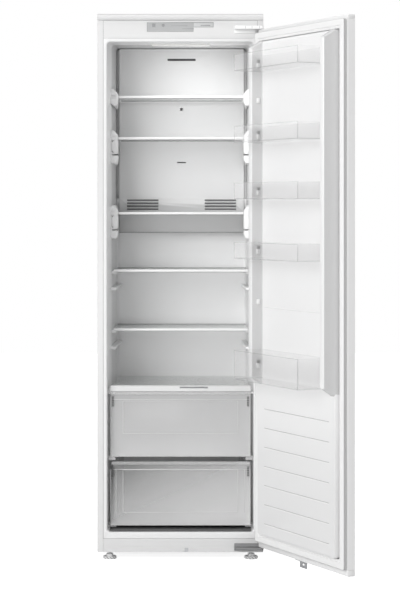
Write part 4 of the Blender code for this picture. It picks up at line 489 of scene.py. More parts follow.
foot_white = opaque_finish("foot plastic", (0.84, 0.84, 0.84), (0.82, 0.82, 0.822), (0.34, 0.46))
plinth_white = opaque_finish("plinth plastic", (0.68, 0.68, 0.68), (0.65, 0.65, 0.652), (0.36, 0.48))
door_white = opaque_finish(
    "door liner polystyrene", (0.87, 0.87, 0.87), (0.855, 0.855, 0.857), (0.26, 0.38), 500.0, 0.00003, coat=0.15
)
liner_white = opaque_finish(
    "liner polystyrene", (0.91, 0.91, 0.91), (0.895, 0.895, 0.897), (0.26, 0.38), 500.0, 0.00003, coat=0.15
)
trim_white = opaque_finish("shelf trim plastic", (0.90, 0.90, 0.90), (0.88, 0.88, 0.882), (0.28, 0.40))
display_grey = opaque_finish("display film", (0.45, 0.455, 0.46), (0.425, 0.43, 0.435), (0.18, 0.26), coat=0.5)
key_grey = opaque_finish("key film", (0.33, 0.335, 0.34), (0.30, 0.305, 0.31), (0.2, 0.3), coat=0.5)
window_film = opaque_finish("window film", (0.56, 0.565, 0.57), (0.53, 0.535, 0.54), (0.5, 0.6))
mark_grey = opaque_finish("printed marks", (0.17, 0.175, 0.18), (0.20, 0.20, 0.21), (0.35, 0.45))
slot_dark = opaque_finish("slot shadow plastic", (0.05, 0.05, 0.055), (0.07, 0.07, 0.07), (0.5, 0.65))
# The dark sheet on the cabin floor is painted shadow.
floor_shadow_dark = opaque_finish("dark rubber", (0.09, 0.09, 0.092), (0.07, 0.07, 0.072), (0.6, 0.75))
# The stops' grey is painted shade on white plastic.
runner_stop_shade_grey = opaque_finish("stop plastic", (0.45, 0.45, 0.452), (0.42, 0.42, 0.422), (0.4, 0.5))
seal_grey = opaque_finish("seal vinyl", (0.30, 0.30, 0.302), (0.34, 0.34, 0.342), (0.5, 0.6))
fitting_grey = opaque_finish("grey fitting plastic", (0.32, 0.325, 0.33), (0.29, 0.295, 0.30), (0.38, 0.5))
gasket_vinyl = opaque_finish(
    "gasket vinyl", (0.86, 0.86, 0.858), (0.84, 0.84, 0.84), (0.5, 0.62), 1400.0, 0.00004, 0.1, 0.0
)
zinc = opaque_finish(
    "zinc plated steel", (0.60, 0.61, 0.62), (0.50, 0.51, 0.53), (0.32, 0.48), 260.0, 0.00002, metallic=1.0, cloud_scale=60.0
)
dark_steel = opaque_finish(
    "dark plated steel", (0.30, 0.30, 0.305), (0.25, 0.25, 0.255), (0.36, 0.5), 400.0, metallic=0.7,
    worn_colour=(0.42, 0.42, 0.42), wear=0.5
)
black_paint = opaque_finish(
    "black stove paint", (0.022, 0.022, 0.023), (0.03, 0.03, 0.031), (0.35, 0.5), 420.0, 0.00004, 0.25, 0.4,
    worn_colour=(0.16, 0.16, 0.16)
)
aluminium = opaque_finish(
    "fin aluminium", (0.78, 0.785, 0.79), (0.68, 0.685, 0.69), (0.28, 0.42), 700.0, metallic=1.0, cloud_scale=40.0
)
foam_cells = opaque_finish(
    "cut foam", (0.80, 0.76, 0.60), (0.70, 0.65, 0.48), (0.85, 0.95), 1100.0, 0.0004, 0.1, 0.0, cloud_scale=25.0
)


def painted_shade_mix(finish, attribute, colour):
    """Mixes a finish from a darker colour to its own by an attribute that its mesh carries; the darker colour is
    painted shade.
    """
    tree = finish.node_tree
    share = add_node(tree, "ShaderNodeAttribute", attribute_name=attribute)
    tones = add_node(
        tree, "ShaderNodeMix", {"Factor": share.outputs["Fac"], 6: (*colour, 1.0)}, data_type="RGBA"
    )
    base = tree.nodes["Principled BSDF"].inputs["Base Color"]
    tree.links.new(base.links[0].from_socket, tones.inputs[7])
    tree.links.new(tones.outputs[2], base)


duct_white = opaque_finish("duct cover ABS", (0.84, 0.84, 0.84), (0.82, 0.82, 0.822), (0.34, 0.46))
painted_shade_mix(duct_white, "set_back", DUCT_BOX_PAINTED_SHADE)
painted_shade_mix(door_white, "open", DOOR_PAINTED_SHADE)
painted_shade_mix(foot_white, "rim", FOOT_SLOT_PAINTED_SHADE)
painted_shade_mix(liner_white, "open", LINER_PAINTED_SHADE)
painted_shade_mix(gasket_vinyl, "crest", GASKET_SIDE_PAINTED_SHADE)
painted_shade_mix(dyke_white, "land", DYKE_SIDE_PAINTED_SHADE)
print("opaque finishes:", len(bpy.data.materials))

# %% [markdown]
# The bins and drawers are clear polystyrene, moulded a little milky. Rather than refract everything twice
# per wall, the finish lets most light straight through with alpha and keeps a gloss on top. Layer Weight
# makes it denser where the wall turns away, as the light's longer way through real plastic does.


# %% The clear finishes
def clear_finish(name, colour, shade, face_alpha, edge_alpha, roughness, blend, dust=0.1, frost=0.0):
    """A see-through plastic or glass whose alpha runs from face_alpha to edge_alpha as it turns away.

    Where the mesh carries a frost attribute, frost times its value is added to the alpha.
    """
    finish = bpy.data.materials.new(name)
    finish.use_nodes = True
    tree = finish.node_tree
    shader = tree.nodes["Principled BSDF"]
    shader.inputs["IOR"].default_value = CLEAR_IOR
    grain = add_node(tree, "ShaderNodeGroup", node_tree=mould_grain)
    dusty = add_node(tree, "ShaderNodeGroup", node_tree=settled_dust)
    dusty.inputs["Amount"].default_value = dust
    base = add_node(
        tree,
        "ShaderNodeMix",
        {"Factor": grain.outputs["Clouds"], 6: (*colour, 1.0), 7: (*shade, 1.0)},
        data_type="RGBA",
    )
    gloss = add_node(
        tree,
        "ShaderNodeMapRange",
        {"Value": grain.outputs["Clouds"], "To Min": roughness[0], "To Max": roughness[1]},
    )
    facing = add_node(tree, "ShaderNodeLayerWeight", {"Blend": blend})
    cover = add_node(
        tree,
        "ShaderNodeMapRange",
        {"Value": facing.outputs["Facing"], "To Min": face_alpha, "To Max": edge_alpha},
    )
    frosting = add_node(tree, "ShaderNodeAttribute", attribute_name="frost")
    frosted = add_node(
        tree,
        "ShaderNodeMath",
        {0: frosting.outputs["Fac"], 1: frost, 2: cover.outputs["Result"]},
        operation="MULTIPLY_ADD",
    )
    dimmed = add_node(
        tree, "ShaderNodeMath", {0: frosted.outputs[0], 1: dusty.outputs["Mask"]}, operation="ADD", use_clamp=True
    )
    bump = add_node(
        tree, "ShaderNodeBump", {"Height": grain.outputs["Height"], "Distance": CLEAR_GRAIN, "Strength": 1.0}
    )
    tree.links.new(base.outputs[2], shader.inputs["Base Color"])
    tree.links.new(gloss.outputs["Result"], shader.inputs["Roughness"])
    tree.links.new(dimmed.outputs[0], shader.inputs["Alpha"])
    tree.links.new(bump.outputs["Normal"], shader.inputs["Normal"])
    return finish


CLEAR_IOR = 1.5
CLEAR_GRAIN = 0.00001
clear_bin = clear_finish("clear bin polystyrene", (0.86, 0.86, 0.865), (0.84, 0.84, 0.845), 0.012, 0.22, (0.06, 0.12), 0.35)
clear_drawer = clear_finish(
    "milky drawer polystyrene", (0.90, 0.90, 0.902), (0.88, 0.88, 0.882), 0.14, 0.50, (0.08, 0.16), 0.35, 0.05, 1.0
)
bead_painted_highlight = clear_finish("milky bead", (0.93, 0.93, 0.93), (0.91, 0.91, 0.91), 0.42, 0.75, (0.10, 0.18), 0.35)
bin_edge_shade = clear_finish("clear bin edge", (0.50, 0.50, 0.505), (0.46, 0.46, 0.465), 0.16, 0.40, (0.06, 0.12), 0.35)
shelf_glass = clear_finish("shelf glass", (0.84, 0.87, 0.86), (0.82, 0.85, 0.84), 0.10, 0.42, (0.02, 0.05), 0.30, 0.04)
print("clear finishes made")

# %% [markdown]
# The lamp's lens is ribbed inside so that it spreads the light. A wave along its length carries the ribs,
# and a soft emission stands for the strip of diodes behind it.

# %% The lamp lens
LENS_RIBS_PER_METRE = 220.0
LENS_GLOW = 0.16

lamp_lens = opaque_finish("lamp lens", (0.92, 0.92, 0.90), (0.88, 0.88, 0.86), (0.2, 0.3), dust=0.0, wear=0.0)
tree = lamp_lens.node_tree
place = add_node(tree, "ShaderNodeTexCoord")
ribs = add_node(tree, "ShaderNodeTexWave", {"Vector": place.outputs["Object"], "Scale": LENS_RIBS_PER_METRE})
glow = add_node(
    tree,
    "ShaderNodeMix",
    {"Factor": ribs.outputs["Fac"], 6: (0.95, 0.95, 0.93, 1.0), 7: (0.75, 0.76, 0.76, 1.0)},
    data_type="RGBA",
)
tree.links.new(glow.outputs[2], tree.nodes["Principled BSDF"].inputs["Emission Color"])
tree.nodes["Principled BSDF"].inputs["Emission Strength"].default_value = LENS_GLOW
print("lens ribs per metre:", LENS_RIBS_PER_METRE)

# %% [markdown]
# The cabin is one sheet of polystyrene drawn over a mould: a flat flange in front, a rounded lip, side walls
# that draw in towards the back, and a hump over the compressor. Here it is a row of rounded rectangles, one
# per depth. The same row, moved outwards by the wall, closes it into a thin shell.

# %% How the cabin's walls run
LINER_DEPTH = 0.448
OPENING_HALF = 0.2385
BACK_HALF = 0.2255
OPENING_BOTTOM = 0.066
OPENING_TOP = 1.6595
FLOOR_RISE = 0.004
CEILING_RISE = 0.015
HUMP_START = 0.2805
HUMP_SLOPE = 0.025
HUMP_TOP = 0.280
HUMP_RISE = 0.010
CABIN_CORNER = 0.011
LIP_RADIUS = 0.0045
BACK_RADIUS = 0.010
LINER_WALL = 0.0016
FLANGE_REACH = 0.004
FLANGE_SHADE_SHARE = 0.30
FLANGE_FOOT_SHADE_SHARE = 0.14
FLANGE_FOOT_TOP = 0.075
SHADE_FROM = 0.170
SHADE_TO = 0.435
SHADE_RUN = 0.040
SHADE_BOTTOM = 1.000


def cabin_half(depth):
    """Half the cabin's width: it falls evenly from the opening to the back."""
    return OPENING_HALF - (OPENING_HALF - BACK_HALF) * depth / LINER_DEPTH


def cabin_ceiling(depth):
    """The ceiling rises evenly towards the back."""
    return OPENING_TOP + CEILING_RISE * depth / LINER_DEPTH


def cabin_floor(depth):
    """The floor rises a little, then climbs the hump on a smooth step, 3t^2 - 2t^3 of the way t up it."""
    climb = np.clip((depth - HUMP_START) / HUMP_SLOPE, 0, 1)
    climb = climb * climb * (3 - 2 * climb)
    before = OPENING_BOTTOM + FLOOR_RISE * np.minimum(depth, HUMP_START) / HUMP_START
    after = HUMP_TOP + HUMP_RISE * np.clip((depth - HUMP_START - HUMP_SLOPE) / (LINER_DEPTH - HUMP_START), 0, 1)
    return before + (after - before) * climb


def liner_rings(outwards):
    """The cabin's rings from its lip to its back, moved outwards by a distance."""
    quarter = np.linspace(0, np.pi / 2, 7)
    lip = LIP_RADIUS * (1 - np.cos(quarter))
    flare = LIP_RADIUS * (1 - np.sin(quarter))
    plain = np.linspace(LIP_RADIUS * 2, HUMP_START - HUMP_SLOPE / 4, 14)
    climbing = np.linspace(HUMP_START, HUMP_START + HUMP_SLOPE, 15)
    beyond = np.linspace(HUMP_START + HUMP_SLOPE * 2, LINER_DEPTH - BACK_RADIUS * 2, 6)
    turn = LINER_DEPTH - BACK_RADIUS + BACK_RADIUS * np.sin(quarter)
    draw = BACK_RADIUS * (1 - np.cos(quarter))
    depth = np.concatenate([lip, plain, climbing, beyond, turn])
    spread = np.zeros_like(depth)
    spread[: len(lip)] = flare
    spread[-len(turn) :] = -draw
    spread += outwards
    corner = np.maximum(CABIN_CORNER + spread, CABIN_CORNER / 4)
    rings = rounded_rings(
        -cabin_half(depth) - spread,
        cabin_half(depth) + spread,
        cabin_floor(depth) - spread,
        cabin_ceiling(depth) + spread,
        corner,
    )
    return place_rings(rings, FRONT + depth + np.maximum(outwards, 0) * (depth > LINER_DEPTH / 2), 1)


# %% The liner's shell, from its foamed side round the flange to its inside
FLANGE_EDGE = 0.0008
FLANGE_HALF = 0.2504
FLANGE_BOTTOM = 0.0447
FLANGE_TOP = 1.6709

edge = np.array([0.0, 0.0, FLANGE_EDGE])
flange_rings = place_rings(
    rounded_rings(
        edge - FLANGE_HALF, FLANGE_HALF - edge, FLANGE_BOTTOM + edge, FLANGE_TOP - edge, CABIN_CORNER / 4
    ),
    FRONT + np.array([LINER_WALL, FLANGE_EDGE, 0.0]),
    1,
)
outside = liner_rings(LINER_WALL)[::-1]
inside = liner_rings(0.0)
outside[-1, :, 1] = FRONT + LINER_WALL
liner_parts = [joined(np.concatenate([outside, flange_rings, inside]))]
print("liner rings:", len(outside) + len(inside) + len(flange_rings))

# %% [markdown]
# Ribs moulded into the side walls carry the lower shelves and the drawers. Each is a soft bar: its points
# are worked out in a space where X is the reach from the wall, and then the wall's place is added.


# %% Ribs and ledges on the side walls
def wall_rib(side, front, back, low, high, reach, radius):
    """A rounded bar that follows the side wall: X = side * (the wall's place at that depth - reach)."""
    points, faces = rounded_bar((-LINER_WALL / 2, front, low), (reach, back, high), radius)
    x = side * (cabin_half(points[:, 1]) - points[:, 0])
    return np.stack([x, FRONT + points[:, 1], points[:, 2]], axis=-1), faces


RIB_REACH = 0.018
RIB_HEIGHT = 0.009
RIB_RADIUS = 0.003
RIB_BACK = 0.440
HELD_RIB_FRONT = 0.1783
SPARE_RIB_FRONT = 0.138
SPARE_RIB_DROP = 0.053
RIB_GAP = 0.0003
COVER_RIB_REACH = 0.011
COVER_RIB_FRONT = 0.043
LEDGE_REACH = 0.024
LEDGE_FRONT = 0.075
LEDGE_BACK = 0.274
LEDGE_HEIGHT = 0.016

for side in (-1, 1):
    for shelf in ("glass_shelf_4", "glass_shelf_5"):
        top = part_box(shelf)[0].z - RIB_GAP
        for front, rib_top in ((HELD_RIB_FRONT, top), (SPARE_RIB_FRONT, top - SPARE_RIB_DROP)):
            liner_parts.append(
                wall_rib(side, front, RIB_BACK, rib_top - RIB_HEIGHT, rib_top, RIB_REACH, RIB_RADIUS)
            )
    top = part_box("crisper_cover_trim")[0].z - RIB_GAP
    liner_parts.append(
        wall_rib(side, COVER_RIB_FRONT, RIB_BACK, top - RIB_HEIGHT, top, COVER_RIB_REACH, RIB_RADIUS)
    )
    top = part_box("lower_drawer")[0].z - RIB_GAP
    liner_parts.append(
        wall_rib(side, LEDGE_FRONT, LEDGE_BACK, top - LEDGE_HEIGHT, top, LEDGE_REACH, RIB_RADIUS)
    )
liner = make_piece("cabin_liner", liner_parts, liner_white, "cabinet", ("inner_liner",))
# The open attribute paints shade on the cabin liner: the liner's grey darkens the side walls beside the duct cover,
# above SHADE_BOTTOM and from SHADE_FROM to SHADE_TO deep, and the front flange, more at its foot.
corners = np.array([vertex.co for vertex in liner.data.vertices])
behind = np.clip((corners[:, 1] - FRONT - SHADE_FROM) / SHADE_RUN, 0, 1)
behind *= np.clip((FRONT + SHADE_TO - corners[:, 1]) / SHADE_RUN, 0, 1)
beside = np.clip((corners[:, 2] - SHADE_BOTTOM) / SHADE_RUN, 0, 1) * (np.abs(corners[:, 0]) > BACK_HALF - CABIN_CORNER)
on_flange = corners[:, 1] < FRONT + FLANGE_REACH
flange_shade = on_flange * (FLANGE_SHADE_SHARE + FLANGE_FOOT_SHADE_SHARE * (corners[:, 2] < FLANGE_FOOT_TOP))
liner.data.attributes.new("open", "FLOAT", "POINT").data.foreach_set(
    "value", (1 - behind * beside) * (1 - flange_shade)
)
print("cabin liner:", len(liner.data.polygons), "faces")

# %% [markdown]
# The steel case, the front trims, the shelf parts and the cooling plant already have the right shape in CAD.
# Their copies get rounded edges, because an edge without a radius catches no light and looks drawn.

# %% Copies of CAD pieces with rounded edges
EDGE_FINE = 0.0003
EDGE_SMALL = 0.0008
EDGE_SOFT = 0.0015
UPPER_FACE = 0.400
BOX_FACE = 0.385

softened("outer_case", enamel, EDGE_FINE)
softened("base_tray", zinc, EDGE_FINE, 2)
softened("back_panel", zinc, EDGE_FINE, 2)
softened("control_fascia", fascia_white, EDGE_FINE)
softened("lower_front_panel", plinth_white, EDGE_SMALL)
softened("display_insert", display_grey, EDGE_FINE, 2)
softened("power_key", key_grey, EDGE_FINE, 2)
softened("temperature_key", key_grey, EDGE_FINE, 2)
duct_cover = softened("air_duct_cover", duct_white, EDGE_SMALL, 3)
# The duct cover's lower box gets painted shade: set_back is 1 on the upper face, which is set back, and 0 on the box,
# which the box grey darkens.
corners = np.array([vertex.co for vertex in duct_cover.data.vertices])
set_back = (corners[:, 1] > FRONT + (UPPER_FACE + BOX_FACE) / 2).astype(float)
duct_cover.data.attributes.new("set_back", "FLOAT", "POINT").data.foreach_set("value", set_back)
softened("crisper_cover_trim", fascia_white, EDGE_SMALL)
softened("humidity_slider", fitting_grey, EDGE_FINE)
softened("bottom_hinge", dark_steel, EDGE_SMALL)
softened("ceiling_lamp", lamp_lens, EDGE_SMALL)
softened("door_panel", door_enamel, EDGE_FINE)
softened("door_top_cap", abs_white, EDGE_SOFT)
softened("door_bottom_cap", abs_white, EDGE_SOFT)
softened("door_bottom_hanger", zinc, EDGE_FINE, 2)
softened("furniture_bracket_upper", abs_white, EDGE_FINE)
softened("furniture_bracket_lower", abs_white, EDGE_FINE)
softened("drawer_runner_left", abs_white, EDGE_SMALL)
softened("drawer_runner_right", abs_white, EDGE_SMALL)
softened("drip_tray", fitting_grey, EDGE_SMALL)
for number in ("1", "2", "3", "4", "5"):
    softened(f"shelf_trim_{number}", trim_white, EDGE_SMALL)
    softened(f"glass_shelf_{number}", shelf_glass, EDGE_FINE, 2)
softened("crisper_cover", shelf_glass, EDGE_FINE, 2)

# %% [markdown]
# A glass shelf is clipped into its front trim with a seal under the glass, and a thin strip guards its back
# edge. Both are grey to paint shade: the seal the shade under the trim, the strip the dark line along the
# glass's back edge, so that seen from below or above they show as the darker lines before and behind the clear band.

# %% Seals along the shelf glass
SEAL_DROP = 0.0030
SEAL_THICK = 0.0016
BACK_STRIP_DROP = 0.0009
SEAL_RADIUS = 0.0003

for number in ("1", "2", "3", "4", "5"):
    glass_low, glass_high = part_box(f"glass_shelf_{number}")
    trim_low, trim_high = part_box(f"shelf_trim_{number}")
    front_seal = rounded_bar(
        (trim_low.x, trim_high.y + RIB_GAP, trim_low.z - SEAL_DROP / 2),
        (trim_high.x, trim_high.y + RIB_GAP + SEAL_THICK, glass_low.z - SEAL_RADIUS),
        SEAL_RADIUS,
        0,
        2,
    )
    back_strip = rounded_bar(
        (trim_low.x, glass_high.y + SEAL_RADIUS, glass_low.z - BACK_STRIP_DROP),
        (trim_high.x, glass_high.y + SEAL_THICK, glass_high.z + SEAL_RADIUS),
        SEAL_RADIUS,
        0,
        2,
    )
    make_piece(f"shelf_seals_{number}", [front_seal, back_strip], seal_grey, "cabinet", ())
print("shelf seals down to", round(trim_low.z - SEAL_DROP / 2, 4))

# %% [markdown]
# Where the steel case meets the plastic fascia and the liner's flange, a thin bead of grey sealant closes
# the joint. A finer one runs under the fascia. They are small bars laid along the joints.

# %% Sealant along the front joints
SEAM_HALF = 0.0006
SEAM_PROUD = 0.0002
SEAM_SUNK = 0.0006
FINE_SEAM_HALF = 0.0003
FINE_SEAM_END = 0.236
JOINT_HALF = 0.2506
JOINT_TOP = 1.7285
UNDER_FASCIA = 1.6710

seam_y = (FRONT - SEAM_PROUD, FRONT + SEAM_SUNK)
seam_bars = [
    rounded_bar(
        (side * JOINT_HALF - SEAM_HALF, seam_y[0], FLANGE_BOTTOM),
        (side * JOINT_HALF + SEAM_HALF, seam_y[1], JOINT_TOP),
        SEAM_PROUD,
        2,
        2,
    )
    for side in (-1, 1)
]
seam_bars.append(
    rounded_bar(
        (-FINE_SEAM_END, seam_y[0], UNDER_FASCIA - FINE_SEAM_HALF),
        (FINE_SEAM_END, seam_y[1], UNDER_FASCIA + FINE_SEAM_HALF),
        SEAM_PROUD,
        0,
        2,
    )
)
make_piece("front_sealant", seam_bars, seal_grey, "cabinet", ())
print("sealant beads:", len(seam_bars))

# %% [markdown]
# The shelf supports are soft white mouldings that clip to the walls. A shelf slides into the groove between
# an upper and a lower block. Each block is one outline, a polygon whose corners are small parabolas, that is
# carried back along the wall while its reach and height change smoothly.


# %% Outlines with soft corners, and blocks on the side walls
def soft_outline(corners, cuts, steps=6):
    """A closed outline whose corners are parabolas.

    A corner C with its two tangent points P and Q, each cut away from C, becomes
    (1 - s)^2 P + 2 s (1 - s) C + s^2 Q for s from 0 to 1.
    """
    corners = np.asarray(corners, float)
    cuts = np.asarray(cuts, float)[:, None]
    to_before = np.roll(corners, 1, axis=0) - corners
    to_after = np.roll(corners, -1, axis=0) - corners
    before = corners + to_before / np.linalg.norm(to_before, axis=1)[:, None] * cuts
    after = corners + to_after / np.linalg.norm(to_after, axis=1)[:, None] * cuts
    s = np.linspace(0, 1, steps)[None, :, None]
    curve = (1 - s) ** 2 * before[:, None] + 2 * s * (1 - s) * corners[:, None] + s**2 * after[:, None]
    return curve.reshape(-1, 2)


def wall_block(side, outline, front, back, reach_front, reach_back, nose):
    """Carries a (reach share, height) outline back along a wall from depth front to depth back.

    Near the front the outline shrinks towards its middle by a quarter circle, which rounds the nose.
    """
    turn = np.linspace(0, np.pi / 2, 7)
    depth = np.concatenate([front + nose * (1 - np.cos(turn)), np.linspace(front + nose * 2, back, 7)])
    size = np.concatenate([np.sin(turn) * (1 - NOSE_FLAT_SHARE) + NOSE_FLAT_SHARE, np.ones(7)])
    reach = reach_front + (reach_back - reach_front) * smooth_step((depth - front) / (back - front))
    middle = (outline[:, 1].max() + outline[:, 1].min()) / 2
    height = middle + (outline[None, :, 1] - middle) * (1 - (1 - size[:, None]) * nose / NOSE_SPREAD)
    x = side * (cabin_half(depth)[:, None] - outline[None, :, 0] * (reach * size)[:, None])
    y = np.broadcast_to(FRONT + depth[:, None], x.shape)
    return joined(np.stack([x, y, height], axis=-1))


def smooth_step(share):
    """3t^2 - 2t^3 of a share held between 0 and 1: level at both ends."""
    share = np.clip(share, 0, 1)
    return share * share * (3 - 2 * share)


# %% The shelf supports
NOSE_FLAT_SHARE = 0.25
NOSE_SPREAD = 0.010
SUPPORT_FRONT = 0.1482
SUPPORT_BACK = 0.3757
SUPPORT_REACH = 0.0245
SUPPORT_REACH_BACK = 0.0100
SUPPORT_NOSE = 0.006
GLASS_CLEARANCE = 0.0004
GLASS_THICK = 0.004
GLASS_FRONT = 0.1675
SUPPORT_HEAD = 0.0258
SUPPORT_FOOT = 0.0277
GROOVE_SPACING = 0.055
POCKET_INSET = 0.006
POCKET_SHARE = 0.72
PLATE_SHARE = 0.22
HEAD_SIDE = 0.007
HEAD_DROP = 0.004
HEAD_PEAK_SHARE = 0.36
FOOT_RISE = 0.013
FOOT_TIP_SHARES = (0.34, 0.74)
SMALL_CORNER = 0.0015


def shaped_outline(corners, cuts):
    """A (reach share, height) outline through the corners, each cut soft. Shares scale like lengths."""
    stretch = np.array([SUPPORT_REACH, 1.0])
    return soft_outline(np.array(corners) * stretch, cuts) / stretch


def block_outline(low, high, inner_share=0.0, outer_share=1.0):
    """A plain block with small corners."""
    corners = [(inner_share, low), (outer_share, low), (outer_share, high), (inner_share, high)]
    return shaped_outline(corners, [SMALL_CORNER / 2] * len(corners))


def head_outline(low, high):
    """The upper block: its top slants down from a peak near the wall to its full reach."""
    corners = [(0.0, low), (1.0, low), (1.0, low + HEAD_SIDE), (HEAD_PEAK_SHARE, high), (0.0, high - HEAD_DROP)]
    return shaped_outline(corners, [SMALL_CORNER / 2, SMALL_CORNER, HEAD_SIDE * 0.8, HEAD_DROP, SMALL_CORNER])


def foot_outline(low, high):
    """The lower block: a tongue whose tip is narrower than its root."""
    corners = [
        (0.0, low + FOOT_RISE),
        (FOOT_TIP_SHARES[0], low),
        (FOOT_TIP_SHARES[1], low),
        (1.0, low + FOOT_RISE),
        (1.0, high),
        (0.0, high),
    ]
    return shaped_outline(
        corners, [SMALL_CORNER, FOOT_RISE / 3, FOOT_RISE / 3, FOOT_RISE / 2, SMALL_CORNER, SMALL_CORNER / 2]
    )


def support_parts(side, seat, grooves):
    """An upper block, a lower block and a bead that closes the groove in front of the glass.

    With two grooves the part between them is a thin rib and a plate on the wall, so a pocket shows.
    """
    top = seat + GLASS_THICK + GLASS_CLEARANCE
    under = seat - GLASS_CLEARANCE
    outlines = [head_outline(top, seat + GLASS_THICK + SUPPORT_HEAD)]
    if grooves == 1:
        outlines.append(foot_outline(seat - SUPPORT_FOOT, under))
    else:
        second = seat - GROOVE_SPACING
        outlines += [
            block_outline(under - POCKET_INSET, under),
            block_outline(second + GLASS_THICK, under, POCKET_SHARE),
            block_outline(second - SUPPORT_FOOT, under, 0.0, PLATE_SHARE),
            block_outline(second + GLASS_THICK, second + GLASS_THICK + POCKET_INSET),
            foot_outline(second - SUPPORT_FOOT, second - GLASS_CLEARANCE),
        ]
    whole = (SUPPORT_FRONT, SUPPORT_BACK, SUPPORT_REACH, SUPPORT_REACH_BACK, SUPPORT_NOSE)
    parts = [wall_block(side, outline, *whole) for outline in outlines]
    bead = block_outline(under - SMALL_CORNER, top + SMALL_CORNER)
    short = (SUPPORT_FRONT, GLASS_FRONT, SUPPORT_REACH, SUPPORT_REACH, SUPPORT_NOSE)
    return [*parts, wall_block(side, bead, *short)]


for number, grooves in (("1", 1), ("2", 2), ("3", 2)):
    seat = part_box(f"glass_shelf_{number}")[0].z
    for side, side_name in ((-1, "left"), (1, "right")):
        node = f"shelf_support_{number}_{side_name}"
        piece = make_piece(f"soft_{node}", support_parts(side, seat, grooves), trim_white, "cabinet", (node,))
    print("support", number, len(piece.data.polygons), "faces each")

# %% [markdown]
# The top hinge is a cast white leaf over the door, screwed to the case through a small flange. The leaf is
# an outline seen from above, taken through a few heights: it draws in at both edges by a quarter circle.

# %% The top hinge
LEAF_BOTTOM = 1.6986
LEAF_TOP = 1.7092
LEAF_EDGE = 0.0012
LEAF_CORNER = 0.009
HINGE_FLANGE_BOTTOM = 1.6872
HINGE_FLANGE_BACK = -0.2529
HINGE_FLANGE_FRONT = -0.2566
SCREW_RADIUS = 0.0034
SCREW_PROUD = 0.0006
SEAM_WIDTH = 0.0012
SEAM_DEPTH = 0.0004
SEAM_SHARES = (0.38, 0.60, 0.86)
PIN_RADIUS = 0.0038
PIN_BOTTOM = 1.6872

hinge_low, hinge_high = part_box("top_hinge")
corners = [
    (hinge_low.x, HINGE_FLANGE_BACK),
    (hinge_low.x, hinge_low.y),
    (hinge_high.x, hinge_low.y),
    (hinge_high.x, HINGE_FLANGE_BACK),
]
turn = np.linspace(0, np.pi / 2, 5)
leaf_z = np.concatenate(
    [LEAF_BOTTOM + LEAF_EDGE * (1 - np.cos(turn)), (LEAF_TOP - LEAF_EDGE * (1 - np.cos(turn)))[::-1]]
)
draw = np.concatenate([LEAF_EDGE * (1 - np.sin(turn)), (LEAF_EDGE * (1 - np.sin(turn)))[::-1]])
outline = soft_outline(corners, (SMALL_CORNER, LEAF_CORNER, LEAF_CORNER, SMALL_CORNER))
middle = outline.mean(axis=0)
half_size = np.ptp(outline, axis=0) / 2
leaf_rings = middle + (outline - middle)[None] * (1 - draw[:, None, None] / half_size)
hinge_parts = [
    joined(place_rings(leaf_rings, leaf_z, 2)),
    rounded_bar(
        (hinge_low.x, HINGE_FLANGE_FRONT, HINGE_FLANGE_BOTTOM),
        (HINGE_X - LEAF_CORNER * 2, HINGE_FLANGE_BACK, LEAF_TOP - LEAF_EDGE),
        LEAF_EDGE,
        0,
    ),
]


def turned(profile, centre, axis=2, steps=32):
    """(points, faces) of (radius, place) pairs turned about an axis through the centre."""
    profile = np.asarray(profile, float)
    angle = np.linspace(0, math.tau, steps, endpoint=False)
    others = [i for i in range(3) if i != axis]
    rings = profile[:, 0][:, None, None] * np.stack([np.cos(angle), np.sin(angle)], -1)[None]
    rings = rings + np.array([centre[others[0]], centre[others[1]]])
    return joined(place_rings(rings, profile[:, 1] + centre[axis], axis))


hinge_parts.append(turned([(PIN_RADIUS, 0.0), (PIN_RADIUS, LEAF_BOTTOM - PIN_BOTTOM + LEAF_EDGE)], (HINGE_X, HINGE_Y, PIN_BOTTOM)))
for x in (hinge_low.x + LEAF_CORNER * 1.4, hinge_low.x + LEAF_CORNER * 4.6):
    hinge_parts.append(
        turned(
            [(SCREW_RADIUS, 0.0), (SCREW_RADIUS, SCREW_PROUD), (SCREW_RADIUS * 0.6, SCREW_PROUD * 2)],
            (x, (hinge_low.y + HINGE_FLANGE_BACK) / 2, LEAF_TOP - SCREW_PROUD),
        )
    )
make_piece("cast_top_hinge", hinge_parts, cast_white, "cabinet", ("top_hinge",))
seams = [
    rounded_bar(
        (x - SEAM_WIDTH / 2, hinge_low.y - SEAM_DEPTH / 8, LEAF_BOTTOM + LEAF_EDGE),
        (x + SEAM_WIDTH / 2, hinge_low.y + LEAF_EDGE, LEAF_TOP - LEAF_EDGE),
        SEAM_DEPTH / 2,
        2,
        2,
    )
    for x in hinge_low.x + (hinge_high.x - hinge_low.x) * np.array(SEAM_SHARES)
]
make_piece("hinge_seams", seams, fitting_grey, "cabinet", ())
print("top hinge leaf:", len(leaf_rings), "outlines")

# %% [markdown]
# The display film has a darker upper edge, where it tucks under the fascia, and faint strips for its lights.
# The strips are left plain: a level line, a shorter one below it and a bar on the right.

